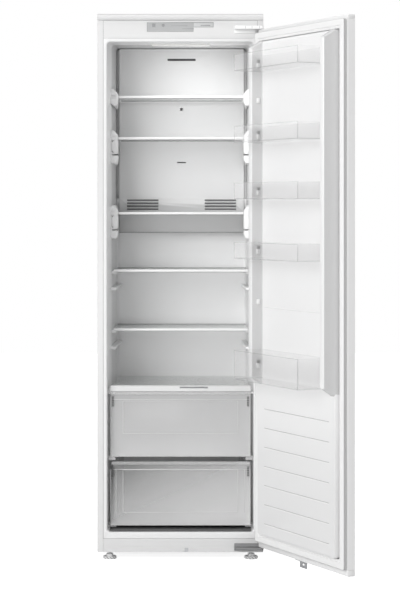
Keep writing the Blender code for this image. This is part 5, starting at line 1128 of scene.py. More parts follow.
# %% The display's strips
MARK_PROUD = 0.0001
MARK_THICK = 0.0004
display_low, display_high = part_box("display_insert")
mark_places = (
    ("display_edge", key_grey, (-0.1080, 0.1080), (1.7214, 1.7229)),
    ("display_edge", key_grey, (-0.1080, -0.1068), (1.6935, 1.7214)),
    ("display_window", window_film, (0.0440, 0.1065), (1.7088, 1.7212)),
    ("display_strips", key_grey, (-0.0300, 0.0235), (1.7108, 1.7126)),
    ("display_strips", key_grey, (0.0065, 0.0440), (1.7012, 1.7030)),
    ("display_strips", key_grey, (0.0660, 0.0975), (1.7110, 1.7145)),
)
mark_finishes = {name: finish for name, finish, x_pair, z_pair in mark_places}
for mark_name, mark_finish in mark_finishes.items():
    proud = MARK_PROUD * (2 if mark_name == "display_strips" else 1)
    bars = [
        rounded_bar(
            (x_pair[0], display_low.y - proud, z_pair[0]),
            (x_pair[1], display_low.y - proud + MARK_THICK, z_pair[1]),
            MARK_THICK / 4,
            0,
            2,
        )
        for name, finish, x_pair, z_pair in mark_places
        if name == mark_name
    ]
    make_piece(mark_name, bars, mark_finish, "cabinet", ())
print("display strips:", len(mark_places))

# %% [markdown]
# Behind the slots of the duct cover lie the fan chamber and the sensor, in shade. Dark inserts just behind each
# slot's rim paint that shade, so that the slots read as openings from every side.

# %% Dark depths behind the duct cover's slots
TRIM_FACE = 0.030
DUCT_SHADOW_EDGE = 0.0012
DUCT_SHADOW_HEIGHT = 0.0028
DUCT_SHADOW_DEPTH = 0.016
SLIDER_SLOT_LEFT = -0.0017
SLIDER_SLOT_LOW = 0.5302
SLIDER_SLOT_HIGH = 0.5348
SLIDER_ROOM = 0.00012
STRIP_HALF = 0.231
STRIP_FRONT = 0.0045
STRIP_BACK = 0.150
STRIP_EASE = 0.0022
STRIP_THICK = 0.0012
SLOT_SETBACK = 0.0007
SLOT_THICK = 0.0012
SLOT_EASE = 0.0002
DUCT_HALF = 0.2165
LIP_SETBACK = 0.018
LIP_THICK = 0.003
LIP_EASE = 0.0008
LIP_TOP = 1.668
BOX_TOP = 1.152
BOX_BOTTOM = 1.0375
slots = [
    (0.0, 1.6335, 0.049, 0.004, UPPER_FACE),
    (0.0, 1.277, 0.0155, 0.0018, UPPER_FACE),
]
for side in (-1, 1):
    for row in range(4):
        slots.append((side * 0.1345, 1.115 + row * 0.0104, 0.0545, 0.0020, BOX_FACE))
lip_parts = []
for side in (-1, 1):
    for face, low_z, high_z in ((UPPER_FACE, BOX_TOP, LIP_TOP), (BOX_FACE, BOX_BOTTOM, BOX_TOP)):
        depth = face + LIP_SETBACK
        reach = sorted((side * (DUCT_HALF - LIP_THICK), side * (cabin_half(depth + LIP_THICK) - LIP_EASE)))
        lip_parts.append(
            rounded_bar(
                (reach[0], FRONT + depth, low_z), (reach[1], FRONT + depth + LIP_THICK, high_z), LIP_THICK / 3, 2
            )
        )
make_piece("duct_side_lips", lip_parts, abs_white, "cabinet", ())
slot_parts = []
for x, z, half_x, half_z, face in slots:
    front = FRONT + face + SLOT_SETBACK
    slot_parts.append(
        rounded_bar(
            (x - half_x + SLOT_EASE, front, z - half_z + SLOT_EASE),
            (x + half_x - SLOT_EASE, front + SLOT_THICK, z + half_z - SLOT_EASE),
            SLOT_THICK / 4,
            0,
            2,
        )
    )
make_piece("duct_slot_depths", slot_parts, slot_dark, "cabinet", ())
slider_slot = rounded_bar(
    (SLIDER_SLOT_LEFT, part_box("humidity_slider")[1].y + SLIDER_ROOM, SLIDER_SLOT_LOW),
    (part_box("humidity_slider")[0].x - SLOT_SETBACK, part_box("humidity_slider")[1].y + SLOT_THICK, SLIDER_SLOT_HIGH),
    SLOT_THICK / 4,
    0,
    2,
)
make_piece("slider_slot_depth", [slider_slot], fitting_grey, "cabinet", ())
# A grey bar just under the duct cover's lower edge paints the shadow line between the cover and the liner's back.
duct_low, duct_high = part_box("air_duct_cover")
duct_shadow_bar = rounded_bar(
    (duct_low.x + DUCT_SHADOW_EDGE, duct_low.y + DUCT_SHADOW_EDGE, duct_low.z - DUCT_SHADOW_HEIGHT),
    (duct_high.x - DUCT_SHADOW_EDGE, duct_low.y + DUCT_SHADOW_EDGE + DUCT_SHADOW_DEPTH, duct_low.z - RIB_GAP),
    RIB_GAP,
)
make_piece("duct_cover_seal", [duct_shadow_bar], seal_grey, "cabinet", ())
# A dark sheet on the cabin floor, under the lower drawer, paints the shadow in the gap beneath it.
floor_strip = rounded_bar(
    (-STRIP_HALF, FRONT + STRIP_FRONT, OPENING_BOTTOM + STRIP_EASE),
    (STRIP_HALF, FRONT + STRIP_BACK, OPENING_BOTTOM + STRIP_EASE + STRIP_THICK),
    STRIP_THICK / 4,
    0,
    2,
)
make_piece("floor_strip", [floor_strip], floor_shadow_dark, "cabinet", ())
print("slots backed:", len(slot_parts))

# %% [markdown]
# A bin and a drawer are both tubs: outer wall up, over a rounded rim, and down the inner wall. The rings
# carry a height and an inset each, so a draft, a lip and rounded floor edges are only curves of inset
# over height.


# %% A double-walled tub
def tub(low, high, wall, draft, corner, lip, floor_radius, lip_height):
    """(points, faces) of an open tub in a box from low to high.

    The inset at height z is draft * (1 - share of the way up) + lip, less the lip near the rim. The inner
    rings are the outer ones, moved in by the wall.
    """
    quarter = np.linspace(0, np.pi / 2, 5)
    bottom, top = low[2], high[2]
    rise = np.concatenate(
        [
            bottom + floor_radius * (1 - np.cos(quarter)),
            np.linspace(bottom + floor_radius * 2, top - lip_height * 2, 5),
            np.linspace(top - lip_height, top - wall / 2, 4),
        ]
    )
    floor_inset = np.zeros_like(rise)
    floor_inset[: len(quarter)] = floor_radius * (1 - np.sin(quarter))
    out = np.clip((rise - (top - lip_height * 2)) / lip_height, 0, 1)
    out = out * out * (3 - 2 * out)
    inset = floor_inset + draft * (1 - (rise - bottom) / (top - bottom)) + lip * (1 - out)
    rim = np.linspace(0, np.pi, 6)[1:-1]
    rim_rise = top - wall / 2 + wall / 2 * np.sin(rim)
    rim_inset = wall / 2 * (1 - np.cos(rim))
    inner_rise = np.maximum(rise[::-1], bottom + wall)
    inner_inset = inset[::-1] + wall
    heights = np.concatenate([rise, rim_rise, inner_rise])
    insets = np.concatenate([inset, rim_inset, inner_inset])
    heights[-len(quarter) :] = (bottom + wall + floor_radius * (1 - np.cos(quarter)))[::-1]
    radius = np.maximum(corner - insets, corner * CORNER_SHARE)
    rings = rounded_rings(low[0] + insets, high[0] - insets, low[1] + insets, high[1] - insets, radius)
    return joined(place_rings(rings, heights, 2))


# %% [markdown]
# The door bins hang between the dykes. Each has an ear on both ends that sits on a lug of the door liner,
# so a bin lifts off and goes back at another height.

# %% The door bins
PLUG_FACE = 0.0285
BIN_BACK = 0.0307
BIN_FACE = 0.138
BIN_WALL = 0.0022
BIN_DRAFT = 0.0022
BIN_CORNER = 0.006
BIN_LIP = 0.0009
BIN_FLOOR_RADIUS = 0.003
BIN_LIP_HEIGHT = 0.004
LUG_SETBACK = 0.011
LUG_DEPTH = 0.009
LUG_REACH = 0.004
LUG_HEIGHT = 0.016
LUG_RADIUS = 0.0014
EAR_HEIGHT = 0.011
SMALL_BIN_LUG_RISE = 0.030
BOTTLE_BIN_LUG_RISE = 0.048
BIN_HALF = 0.1999
DYKE_INNER_HALF = 0.2045
EDGE_LINE = 0.0015

lug_tops = []
for name in ("door_bin_1", "door_bin_2", "door_bin_3", "door_bin_4", "bottle_bin"):
    bin_low, bin_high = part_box(name)
    rise = BOTTLE_BIN_LUG_RISE if name == "bottle_bin" else SMALL_BIN_LUG_RISE
    lug_top = bin_low.z + rise
    lug_tops.append(lug_top)
    body_points, body_faces = tub(
        (-BIN_HALF, BIN_BACK, bin_low.z),
        (BIN_HALF, BIN_FACE, bin_high.z),
        BIN_WALL,
        BIN_DRAFT,
        BIN_CORNER,
        BIN_LIP,
        BIN_FLOOR_RADIUS,
        BIN_LIP_HEIGHT,
    )
    parts = [(on_door(body_points), body_faces)]
    for side in (-1, 1):
        near = side * (BIN_HALF - BIN_LIP - BIN_DRAFT / 2)
        far = side * (BIN_HALF + LUG_REACH)
        ear_low = (min(near, far), PLUG_FACE + LUG_SETBACK, lug_top + RIB_GAP)
        ear_high = (max(near, far), PLUG_FACE + LUG_SETBACK + LUG_DEPTH, lug_top + EAR_HEIGHT)
        ear_points, ear_faces = rounded_bar(ear_low, ear_high, LUG_RADIUS / 2, 2)
        parts.append((on_door(ear_points), ear_faces))
    piece = make_piece(f"{name}_clear", parts, clear_bin, name, (name,))
    # Darker strips along the bin's front edges and bottom corners paint the shade where its clear walls are seen
    # edge-on.
    side_x = BIN_HALF - BIN_LIP - BIN_DRAFT
    levels = (bin_low.z + EDGE_LINE, bin_high.z - EDGE_LINE)
    edge_y = (BIN_FACE - BIN_DRAFT - EDGE_LINE, BIN_FACE - BIN_DRAFT)
    lines = [rounded_bar((-side_x, edge_y[0], z), (side_x, edge_y[1], z + EDGE_LINE), EDGE_LINE / 4, 0, 2) for z in levels]
    for x in (-side_x, side_x - EDGE_LINE):
        lines.append(rounded_bar((x, edge_y[0], levels[0]), (x + EDGE_LINE, edge_y[1], levels[1]), EDGE_LINE / 4, 2, 2))
        lines.append(
            rounded_bar((x, BIN_BACK + EDGE_LINE, levels[0]), (x + EDGE_LINE, edge_y[0], levels[0] + EDGE_LINE), EDGE_LINE / 4, 1, 2)
        )
    edge_parts = [(on_door(points), faces) for points, faces in lines]
    make_piece(f"{name}_edges", edge_parts, bin_edge_shade, name, ())
    print(name, len(piece.data.polygons), "faces")

# %% [markdown]
# The two crisper drawers are deeper tubs that narrow towards the back, behind a wide front plate. A bar
# along the plate's top is the grip, and the plate steps forward again below a finger's room. The plate grows
# milkier towards its lower right, which paints light there and shade at its upper left. Fine light beads
# frame the plate and paint the highlights of the tub's inner edges, and a white mat lies on the floor so
# that fruit doesn't scratch it.

# %% The drawers
DRAWER_PLATE = 0.0024
DRAWER_FRONT_HALF = 0.229
DRAWER_BODY_HALF = 0.2245
DRAWER_DRAFT = 0.005
DRAWER_TAPER_SHARE = 0.115
DRAWER_LIP = 0.0012
DRAWER_CORNER = 0.012
DRAWER_FLOOR_RADIUS = 0.009
DRAWER_FRONT_DEPTH = 0.035
GRIP_REACH = 0.009
GRIP_HEIGHT = 0.0095
GRIP_HALF = 0.2255
GRIP_RADIUS = 0.0028
FINGER_ROOM = 0.0265
BEAD_PROUD = 0.0012
BEAD_WIDTH = 0.0018
GRIP_FROST = 0.10
DRAWER_FACET_DEGREES = 20.0
FRAME_HALF = 0.1885
FRAME_OUTER_HALF = 0.2110
MAT_THICK = 0.0010
MAT_INSET = 0.0085
CLIP_RIBS = 6
CLIP_DROP = 0.007
CLIP_PITCH = 0.0056
CLIP_RIB = 0.0034
CLIP_WIDTH = 0.0068
CLIP_THICK = 0.0022


def box_bar(x, y, z, radius, axis):
    """A rounded bar from three (low, high) pairs in any order."""
    low, high = zip(*(sorted(pair) for pair in (x, y, z)))
    return rounded_bar(low, high, radius, axis, 3)


def narrowed(part, front, back):
    """Moves a part's points towards the middle: x times 1 less the taper times the share of the way back."""
    points, faces = part
    points = points.copy()
    points[:, 0] *= 1 - DRAWER_TAPER_SHARE * np.clip((points[:, 1] - front) / (back - front), 0, 1)
    return points, faces


def ribbed_clip(side, face, top):
    """Short bars one above another, on the front plate below the grip."""
    edges = (side * DRAWER_BODY_HALF, side * (DRAWER_BODY_HALF - CLIP_WIDTH))
    levels = top - CLIP_DROP - CLIP_PITCH * np.arange(CLIP_RIBS)
    return [box_bar(edges, (face, face + CLIP_THICK), (z - CLIP_RIB, z), CLIP_THICK / 4, 0) for z in levels]


drawer_plans = (
    ("upper_drawer", 0.0118, 0.415, 0.133, 0.18, (0.3815, 0.4870)),
    ("lower_drawer", 0.0102, 0.272, -0.21, 0.74, (0.1229, 0.2620)),
)
for name, tub_drop, back_depth, frost_low, painted_shade_run, bead_levels in drawer_plans:
    low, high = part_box(name)
    front = FRONT + DRAWER_FRONT_DEPTH
    back = FRONT + back_depth
    face = (front - BEAD_PROUD, front + DRAWER_PLATE / 2)
    ledge = high.z - FINGER_ROOM
    body = tub(
        (-DRAWER_BODY_HALF, front + DRAWER_PLATE / 2, low.z),
        (DRAWER_BODY_HALF, back, high.z - tub_drop),
        DRAWER_PLATE,
        DRAWER_DRAFT,
        DRAWER_CORNER,
        DRAWER_LIP,
        DRAWER_FLOOR_RADIUS,
        BIN_LIP_HEIGHT,
    )
    wide = (-DRAWER_FRONT_HALF, DRAWER_FRONT_HALF)
    grip = (-GRIP_HALF, GRIP_HALF)
    parts = [
        narrowed(body, front, back),
        box_bar(wide, (front, front + DRAWER_PLATE), (low.z, high.z), DRAWER_PLATE / 2 - RIB_GAP, 2),
        box_bar(
            grip, (front - GRIP_REACH, front + DRAWER_PLATE / 2), (high.z - GRIP_HEIGHT, high.z), GRIP_RADIUS, 0
        ),
    ]
    piece = make_piece(f"{name}_clear", parts, clear_drawer, name, (name,), DRAWER_FACET_DEGREES)
    # Besides the plate's own milkiness, the attribute on the plate rises from upper left to lower right, so the plate
    # turns denser and lighter there: this paints the light on its lower right and the shade on its upper left.
    body_points, plate_points, grip_points = (part[0] for part in parts)
    x_share = (plate_points[:, 0] / DRAWER_FRONT_HALF + 1) / 2
    z_share = (high.z - plate_points[:, 2]) / (high.z - low.z)
    plate_frost_and_shade = frost_low + painted_shade_run * (x_share + z_share) / 2
    frost = np.concatenate(
        [np.zeros(len(body_points)), plate_frost_and_shade, np.full(len(grip_points), GRIP_FROST)]
    )
    piece.data.attributes.new("frost", "FLOAT", "POINT").data.foreach_set("value", frost)
    # The beads are light, dense lines on the plate that paint the highlights along the tub's inner edges seen through
    # it.
    beads = [
        box_bar(grip, face, (ledge, ledge + BEAD_WIDTH), BEAD_PROUD * 0.6, 0),
        box_bar(wide, face, (low.z, low.z + BEAD_WIDTH), BEAD_PROUD * 0.6, 0),
    ]
    for z in bead_levels:
        beads.append(box_bar((-FRAME_HALF, FRAME_HALF), face, (z, z + BEAD_WIDTH), BEAD_PROUD * 0.6, 0))
    uprights = [(DRAWER_FRONT_HALF, ledge), (FRAME_HALF, bead_levels[-1])]
    if name == "lower_drawer":
        uprights.append((FRAME_OUTER_HALF, ledge))
    for side in (-1, 1):
        for edge, top in uprights:
            beads.append(
                box_bar((side * edge, side * (edge - BEAD_WIDTH)), face, (bead_levels[0], top), BEAD_PROUD * 0.6, 2)
            )
    make_piece(f"{name}_beads", beads, bead_painted_highlight, name, ())
    floor_z = low.z + DRAWER_PLATE
    half = DRAWER_BODY_HALF - DRAWER_DRAFT - MAT_INSET
    mat = box_bar(
        (-half, half), (front + MAT_INSET, back - MAT_INSET), (floor_z, floor_z + MAT_THICK), MAT_THICK / 3, 0
    )
    make_piece(f"{name}_mat", [narrowed(mat, front, back)], abs_white, name, ())
    clips = [rib for side in (-1, 1) for rib in ribbed_clip(side, front - CLIP_THICK, high.z - GRIP_HEIGHT)]
    make_piece(f"{name}_clips", clips, slot_dark, name, ())
    print(name, len(piece.data.polygons), "faces")

# %% [markdown]
# The drawer runners end in small stops that show in the gap between the two drawers. Their grey is painted shade: the
# stops are white plastic, darkened as they look in that gap.

# %% The runners' front stops
STOP_FRONT = 0.030
STOP_BACK = 0.0395
STOP_INNER_HALF = 0.2125
STOP_OUTER_HALF = 0.2365
STOP_LOW = 0.2950
STOP_HIGH = 0.3045
STOP_RADIUS = 0.0015

stops = [
    box_bar(
        (side * STOP_INNER_HALF, side * STOP_OUTER_HALF),
        (FRONT + STOP_FRONT, FRONT + STOP_BACK),
        (STOP_LOW, STOP_HIGH),
        STOP_RADIUS,
        0,
    )
    for side in (-1, 1)
]
make_piece("runner_stops", stops, runner_stop_shade_grey, "cabinet", ())
print("runner stops:", len(stops))

# %% [markdown]
# The door liner is drawn from one sheet too. Its plug is a height field: for each point of the door the
# height is a smooth step of the distance inside a rounded rectangle, less seven grooves and plus a ridge.
# The grid is finer where the height changes, so that few faces carry sharp detail.

# %% The plug of the door liner
RIM_LEFT = -0.2685
RIM_RIGHT = 0.2685
RIM_BOTTOM = 0.0405
RIM_TOP = 1.6855
RIM_BACK = 0.0054
RIM_FACE = 0.0077
PLUG_HALF = 0.2365
PLUG_BOTTOM = 0.069
PLUG_TOP = 1.656
PLUG_RUN = 0.0025
PLUG_TOP_RUN = 0.0105
PLUG_TOP_FALL = 0.0052
PLUG_CORNER = 0.009
GROOVE_COUNT = 7
GROOVE_LOWEST = 0.1085
GROOVE_PITCH = 0.0612
GROOVE_LEFT = -0.202
GROOVE_RIGHT = 0.194
GROOVE_DEPTH = 0.0016
GROOVE_WIDTH = 0.0022
GROOVE_END_RUN = 0.004
LOWER_SHADE_SHARE = 0.17
LOWER_SHADE_TOP = 0.62
LOWER_SHADE_RUN = 0.45
RIDGE_Z = 0.802
RIDGE_RISE = 0.0013


def stations(low, high, count, places, reach):
    """Grid lines from low to high, with extra ones close round each place."""
    near = reach * np.array([-2.0, -1.4, -1.0, -0.75, -0.5, -0.25, 0.0, 0.25, 0.5, 0.75, 1.0, 1.4, 2.0])
    extra = (np.asarray(places, float)[:, None] + near[None, :]).ravel()
    lines = np.concatenate([np.linspace(low, high, count), extra])
    return np.unique(np.round(lines[(lines >= low) & (lines <= high)], 6))


def plug_height(x, z):
    """The liner's height over the door: rim + plug step + grooves + ridge, each a smooth function."""
    over_x = np.abs(x) - (PLUG_HALF - PLUG_CORNER)
    middle = (PLUG_BOTTOM + PLUG_TOP) / 2
    over_z = np.abs(z - middle) - ((PLUG_TOP - PLUG_BOTTOM) / 2 - PLUG_CORNER)
    outside = np.hypot(np.maximum(over_x, 0), np.maximum(over_z, 0))
    inside = PLUG_CORNER - outside - np.minimum(np.maximum(over_x, over_z), 0)
    fall = PLUG_TOP_FALL * np.clip(1 - (PLUG_TOP - z) / PLUG_TOP_RUN, 0, 1)
    height = RIM_FACE + (PLUG_FACE - RIM_FACE - fall) * smooth_step(inside / PLUG_RUN)
    middles = GROOVE_LOWEST + GROOVE_PITCH * np.arange(GROOVE_COUNT)
    away = np.abs(z[..., None] - middles).min(axis=-1)
    along = smooth_step((x - GROOVE_LEFT) / GROOVE_END_RUN) * smooth_step((GROOVE_RIGHT - x) / GROOVE_END_RUN)
    height -= GROOVE_DEPTH * along * smooth_step(1 - away / GROOVE_WIDTH)
    return height + RIDGE_RISE * along * smooth_step(1 - np.abs(z - RIDGE_Z) / GROOVE_WIDTH)


groove_middles = GROOVE_LOWEST + GROOVE_PITCH * np.arange(GROOVE_COUNT)
plug_columns = stations(
    RIM_LEFT,
    RIM_RIGHT,
    40,
    [side * (PLUG_HALF - inset) for side in (-1, 1) for inset in (PLUG_RUN / 2, PLUG_CORNER)]
    + [GROOVE_LEFT + GROOVE_END_RUN / 2, GROOVE_RIGHT - GROOVE_END_RUN / 2],
    PLUG_RUN,
)
plug_rows = stations(
    RIM_BOTTOM,
    RIM_TOP,
    60,
    [PLUG_BOTTOM + PLUG_RUN / 2, PLUG_BOTTOM + PLUG_CORNER, PLUG_TOP - PLUG_RUN / 2, PLUG_TOP - PLUG_TOP_RUN]
    + [RIDGE_Z]
    + groove_middles.tolist(),
    GROOVE_WIDTH,
)
x, z = np.meshgrid(plug_columns, plug_rows)
front_side = np.stack([x, plug_height(x, z), z], axis=-1)
back_side = np.stack([x, np.full_like(x, RIM_BACK), z], axis=-1)[:, ::-1]
plug_points, plug_faces = joined(np.concatenate([front_side, back_side], axis=1))
door_liner_parts = [(on_door(plug_points), plug_faces)]
print("plug grid:", len(plug_rows), "by", len(plug_columns))

# %% [markdown]
# Two dykes stand on the plug and carry the lugs. A dyke is a stack of rounded rectangles: it flares into
# the plug at its foot, draws in by its draft and closes over a rounded crest. The steep sides get a painted
# shade that makes them greyer than the land on top, so the mesh carries an attribute for the land.

# %% The dykes and their lugs
DYKE_FACE = 0.066
DYKE_OUTER_HALF = 0.2368
DYKE_BOTTOM = 0.557
DYKE_TOP = 1.654
DYKE_OUTER_DRAFT = 0.0068
DYKE_INNER_DRAFT = 0.0035
DYKE_END_DRAFT = 0.022
DYKE_CORNER = 0.006
DYKE_FOOT_RADIUS = 0.0022
DYKE_CREST_RADIUS = 0.0035
SPARE_LUG_TOPS = (1.4715, 0.828)


def dyke(side):
    """A dyke's (points, faces): each side moves in by its draft times the share of the height."""
    quarter = np.linspace(0, np.pi / 2, 6)
    foot = PLUG_FACE + DYKE_FOOT_RADIUS * (1 - np.cos(quarter))
    flare = DYKE_FOOT_RADIUS * (1 - np.sin(quarter))
    rise = np.linspace(foot[-1], DYKE_FACE - DYKE_CREST_RADIUS, 5)[1:]
    crest = DYKE_FACE - DYKE_CREST_RADIUS + DYKE_CREST_RADIUS * np.sin(quarter)
    draw = DYKE_CREST_RADIUS * (1 - np.cos(quarter))
    height = np.concatenate([[RIM_FACE, PLUG_FACE - DYKE_FOOT_RADIUS], foot, rise, crest])
    inset = np.concatenate([[0.0, 0.0], -flare, np.zeros_like(rise), draw])
    share = np.clip((height - PLUG_FACE) / (DYKE_FACE - PLUG_FACE), 0, 1)
    outer_share = (height - RIM_FACE) / (DYKE_FACE - RIM_FACE)
    outer = DYKE_OUTER_HALF - DYKE_OUTER_DRAFT * outer_share - np.maximum(inset, 0)
    inner = DYKE_INNER_HALF + DYKE_INNER_DRAFT * share + inset
    low_x, high_x = (inner, outer) if side > 0 else (-outer, -inner)
    rings = rounded_rings(
        low_x,
        high_x,
        DYKE_BOTTOM + DYKE_END_DRAFT * share + inset,
        DYKE_TOP - DYKE_END_DRAFT * share - inset,
        np.maximum(DYKE_CORNER - inset, DYKE_CORNER * CORNER_SHARE),
    )
    points, faces = joined(place_rings(rings, height, 1))
    return (on_door(points), faces), height


def lug(side, top):
    """A lug on a dyke's inner side: an upright rounded bar whose root is buried in the dyke."""
    near = side * (DYKE_INNER_HALF - LUG_REACH)
    far = side * (DYKE_INNER_HALF + LUG_REACH)
    low = (min(near, far), PLUG_FACE + LUG_SETBACK, top - LUG_HEIGHT)
    high = (max(near, far), PLUG_FACE + LUG_SETBACK + LUG_DEPTH, top)
    points, faces = rounded_bar(low, high, LUG_RADIUS, 2)
    return on_door(points), faces


dyke_parts = []
land_shares = []
for side in (-1, 1):
    (points, faces), height = dyke(side)
    dyke_parts.append((points, faces))
    share = smooth_step((height - DYKE_FACE) / DYKE_CREST_RADIUS + 1)
    land_shares.append(np.repeat(share, len(points) // len(height)))
    for top in (*lug_tops, *SPARE_LUG_TOPS):
        dyke_parts.append(lug(side, top))
        land_shares.append(np.ones(len(dyke_parts[-1][0])))
# land is 1 on the crest and the lugs and 0 on the steep sides, which the dyke's grey darkens as painted shade.
dykes = make_piece("door_liner_dykes", dyke_parts, dyke_white, "door", ())
land = dykes.data.attributes.new("land", "FLOAT", "POINT")
land.data.foreach_set("value", np.concatenate(land_shares))
door_liner = make_piece("moulded_door_liner", door_liner_parts, door_white, "door", ("door_liner",))
# The open attribute paints light and shade on the door liner: the door's grey darkens each groove's upper slope and the
# door's lower part, and a line under each groove is left out of that lower darkening, which paints a highlight there.
both_sides = lambda field: np.concatenate([field, np.ones_like(field)], axis=1).ravel()
over = z[..., None] - groove_middles
nearest = np.take_along_axis(over, np.abs(over).argmin(axis=-1)[..., None], axis=-1)[..., 0]
along = smooth_step((x - GROOVE_LEFT) / GROOVE_END_RUN) * smooth_step((GROOVE_RIGHT - x) / GROOVE_END_RUN)
groove_painted_shade = smooth_step(1 - np.abs(nearest - GROOVE_WIDTH * 0.45) / (GROOVE_WIDTH * 0.7))
groove_painted_highlight = smooth_step(1 - np.abs(nearest + GROOVE_WIDTH * 0.8) / GROOVE_WIDTH)
lower_shade = LOWER_SHADE_SHARE * smooth_step((LOWER_SHADE_TOP - z) / LOWER_SHADE_RUN)
door_liner.data.attributes.new("open", "FLOAT", "POINT").data.foreach_set(
    "value", both_sides((1 - lower_shade * (1 - along * groove_painted_highlight)) * (1 - along * groove_painted_shade))
)
print("door liner:", len(door_liner.data.polygons), "faces")

# %% [markdown]
# The gasket is a hollow vinyl bellows with a magnet strip in its crest. Its section is a squarish oval,
# drawn in low on both sides where the bellows folds, and it is carried round the door's edge.

# %% The magnetic gasket
GASKET_WIDTH = 0.020
GASKET_BASE = 0.0080
GASKET_CREST = 0.0197
GASKET_LEFT = -0.2685
GASKET_RIGHT = 0.2695
GASKET_BOTTOM = 0.0405
GASKET_TOP = 1.6855
GASKET_CORNER = 0.006
GASKET_FOLD = 0.0022
GASKET_SQUARENESS_SHARE = 0.35
FOLD_HEIGHT_SHARE = 0.36
FOLD_WIDTH_SHARE = 0.16
CREST_FROM_SHARE = 0.90
CREST_RUN_SHARE = 0.08
SKIRT_ROOT = 0.0185
SKIRT_TIP = 0.0275
SKIRT_FACE = 0.0165
SKIRT_BACK = 0.0155

turn = np.linspace(0, math.tau, 44, endpoint=False)
wide = np.sign(np.cos(turn)) * np.abs(np.cos(turn)) ** GASKET_SQUARENESS_SHARE
tall = np.sign(np.sin(turn)) * np.abs(np.sin(turn)) ** GASKET_SQUARENESS_SHARE
tall_share = (tall + 1) / 2
fold = GASKET_FOLD * np.exp(-(((tall_share - FOLD_HEIGHT_SHARE) / FOLD_WIDTH_SHARE) ** 2))
inset = GASKET_WIDTH / 2 * (1 + wide) - fold * np.sign(wide)
gasket_y = GASKET_BASE + (GASKET_CREST - GASKET_BASE) * tall_share
gasket_rings = rounded_rings(
    GASKET_LEFT + inset,
    GASKET_RIGHT - inset,
    GASKET_BOTTOM + inset,
    GASKET_TOP - inset,
    np.maximum(GASKET_CORNER - inset / 4, GASKET_CORNER * CORNER_SHARE),
)
gasket_points, gasket_faces = joined(place_rings(gasket_rings, gasket_y, 1), along=True)
skirt_inset = np.array([SKIRT_ROOT, SKIRT_ROOT, SKIRT_TIP, SKIRT_TIP])
skirt_y = np.array([SKIRT_BACK, SKIRT_FACE, SKIRT_FACE, SKIRT_BACK])
skirt_rings = rounded_rings(
    GASKET_LEFT + skirt_inset,
    GASKET_RIGHT - skirt_inset,
    GASKET_BOTTOM + skirt_inset,
    GASKET_TOP - skirt_inset,
    GASKET_CORNER,
)
skirt_points, skirt_faces = joined(place_rings(skirt_rings, skirt_y, 1), along=True)
gasket = make_piece(
    "bellows_gasket",
    [(on_door(gasket_points), gasket_faces), (on_door(skirt_points), skirt_faces)],
    gasket_vinyl,
    "door",
    ("door_gasket",),
    smooth_degrees=60.0,
)
# The crest attribute is 1 on the crest and the inner side and 0 on the outer side, where the gasket's grey paints the
# shade in the bellows' fold.
crest = gasket.data.attributes.new("crest", "FLOAT", "POINT")
around = len(gasket_points) // len(turn)
gasket_unshaded_share = np.maximum(smooth_step((tall_share - CREST_FROM_SHARE) / CREST_RUN_SHARE), smooth_step(wide))
crest.data.foreach_set("value", np.concatenate([np.repeat(gasket_unshaded_share, around), np.ones(len(skirt_points))]))
print("gasket:", len(gasket.data.polygons), "faces,", around, "points round each ring")

# %% [markdown]
# The trim along the top front edge hides the gap to the kitchen unit. Its nose is a quarter of an ellipse
# over a small rounded underside, and the whole section is carried from side to side.

# %% The curved top trim
TRIM_NOSE_RUN = 0.032
TRIM_FOOT_RISE = 0.0125
TRIM_UNDER_RUN = 0.0085



def carried_on_x(outline, low_x, high_x):
    """Carries a closed (y, z) outline along X and closes both ends."""
    rings = np.repeat(np.asarray(outline, float)[None], 2, axis=0)
    return joined(place_rings(rings, (low_x, high_x), 0))


trim_low, trim_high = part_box("top_trim")
turn = np.linspace(0, np.pi / 2, 15)
nose_y = trim_low.y + TRIM_NOSE_RUN * (1 - np.cos(turn))
nose_z = trim_low.z + TRIM_FOOT_RISE + (trim_high.z - trim_low.z - TRIM_FOOT_RISE) * np.sin(turn)
under = np.linspace(np.pi / 2, 0, 9)[:-1]
under_y = trim_low.y + TRIM_UNDER_RUN * (1 - np.cos(under))
under_z = trim_low.z + TRIM_FOOT_RISE * (1 - np.sin(under))
outline = np.concatenate(
    [
        np.stack([under_y, under_z], -1),
        np.stack([nose_y, nose_z], -1),
        [(trim_high.y, trim_low.z + TRIM_FOOT_RISE), (trim_high.y, trim_low.z)],
    ]
)
top_trim = make_piece(
    "curved_top_trim", [carried_on_x(outline, trim_low.x, trim_high.x)], fascia_white, "cabinet", ("top_trim",)
)
round_edges(top_trim, EDGE_FINE)
print("top trim:", len(top_trim.data.polygons), "faces")

# %% [markdown]
# Each front foot is a white disc with slanted slots for a key, on a threaded stem. The disc's radius is a
# function of angle and height: it dips wherever a slanted wave runs over it.

# %% The front feet
FOOT_SLOTS = 12
SLOT_DEPTH = 0.0028
SLOT_SLANT = 90.0
SLOT_WIDTH_SHARE = 0.42
FOOT_RIM_RADIUS = 0.0016
FOOT_STEM_RADIUS = 0.0049
FOOT_NUT_RADIUS = 0.011
FOOT_PAD_HEIGHT = 0.009
FOOT_NUT_TOP = 0.017

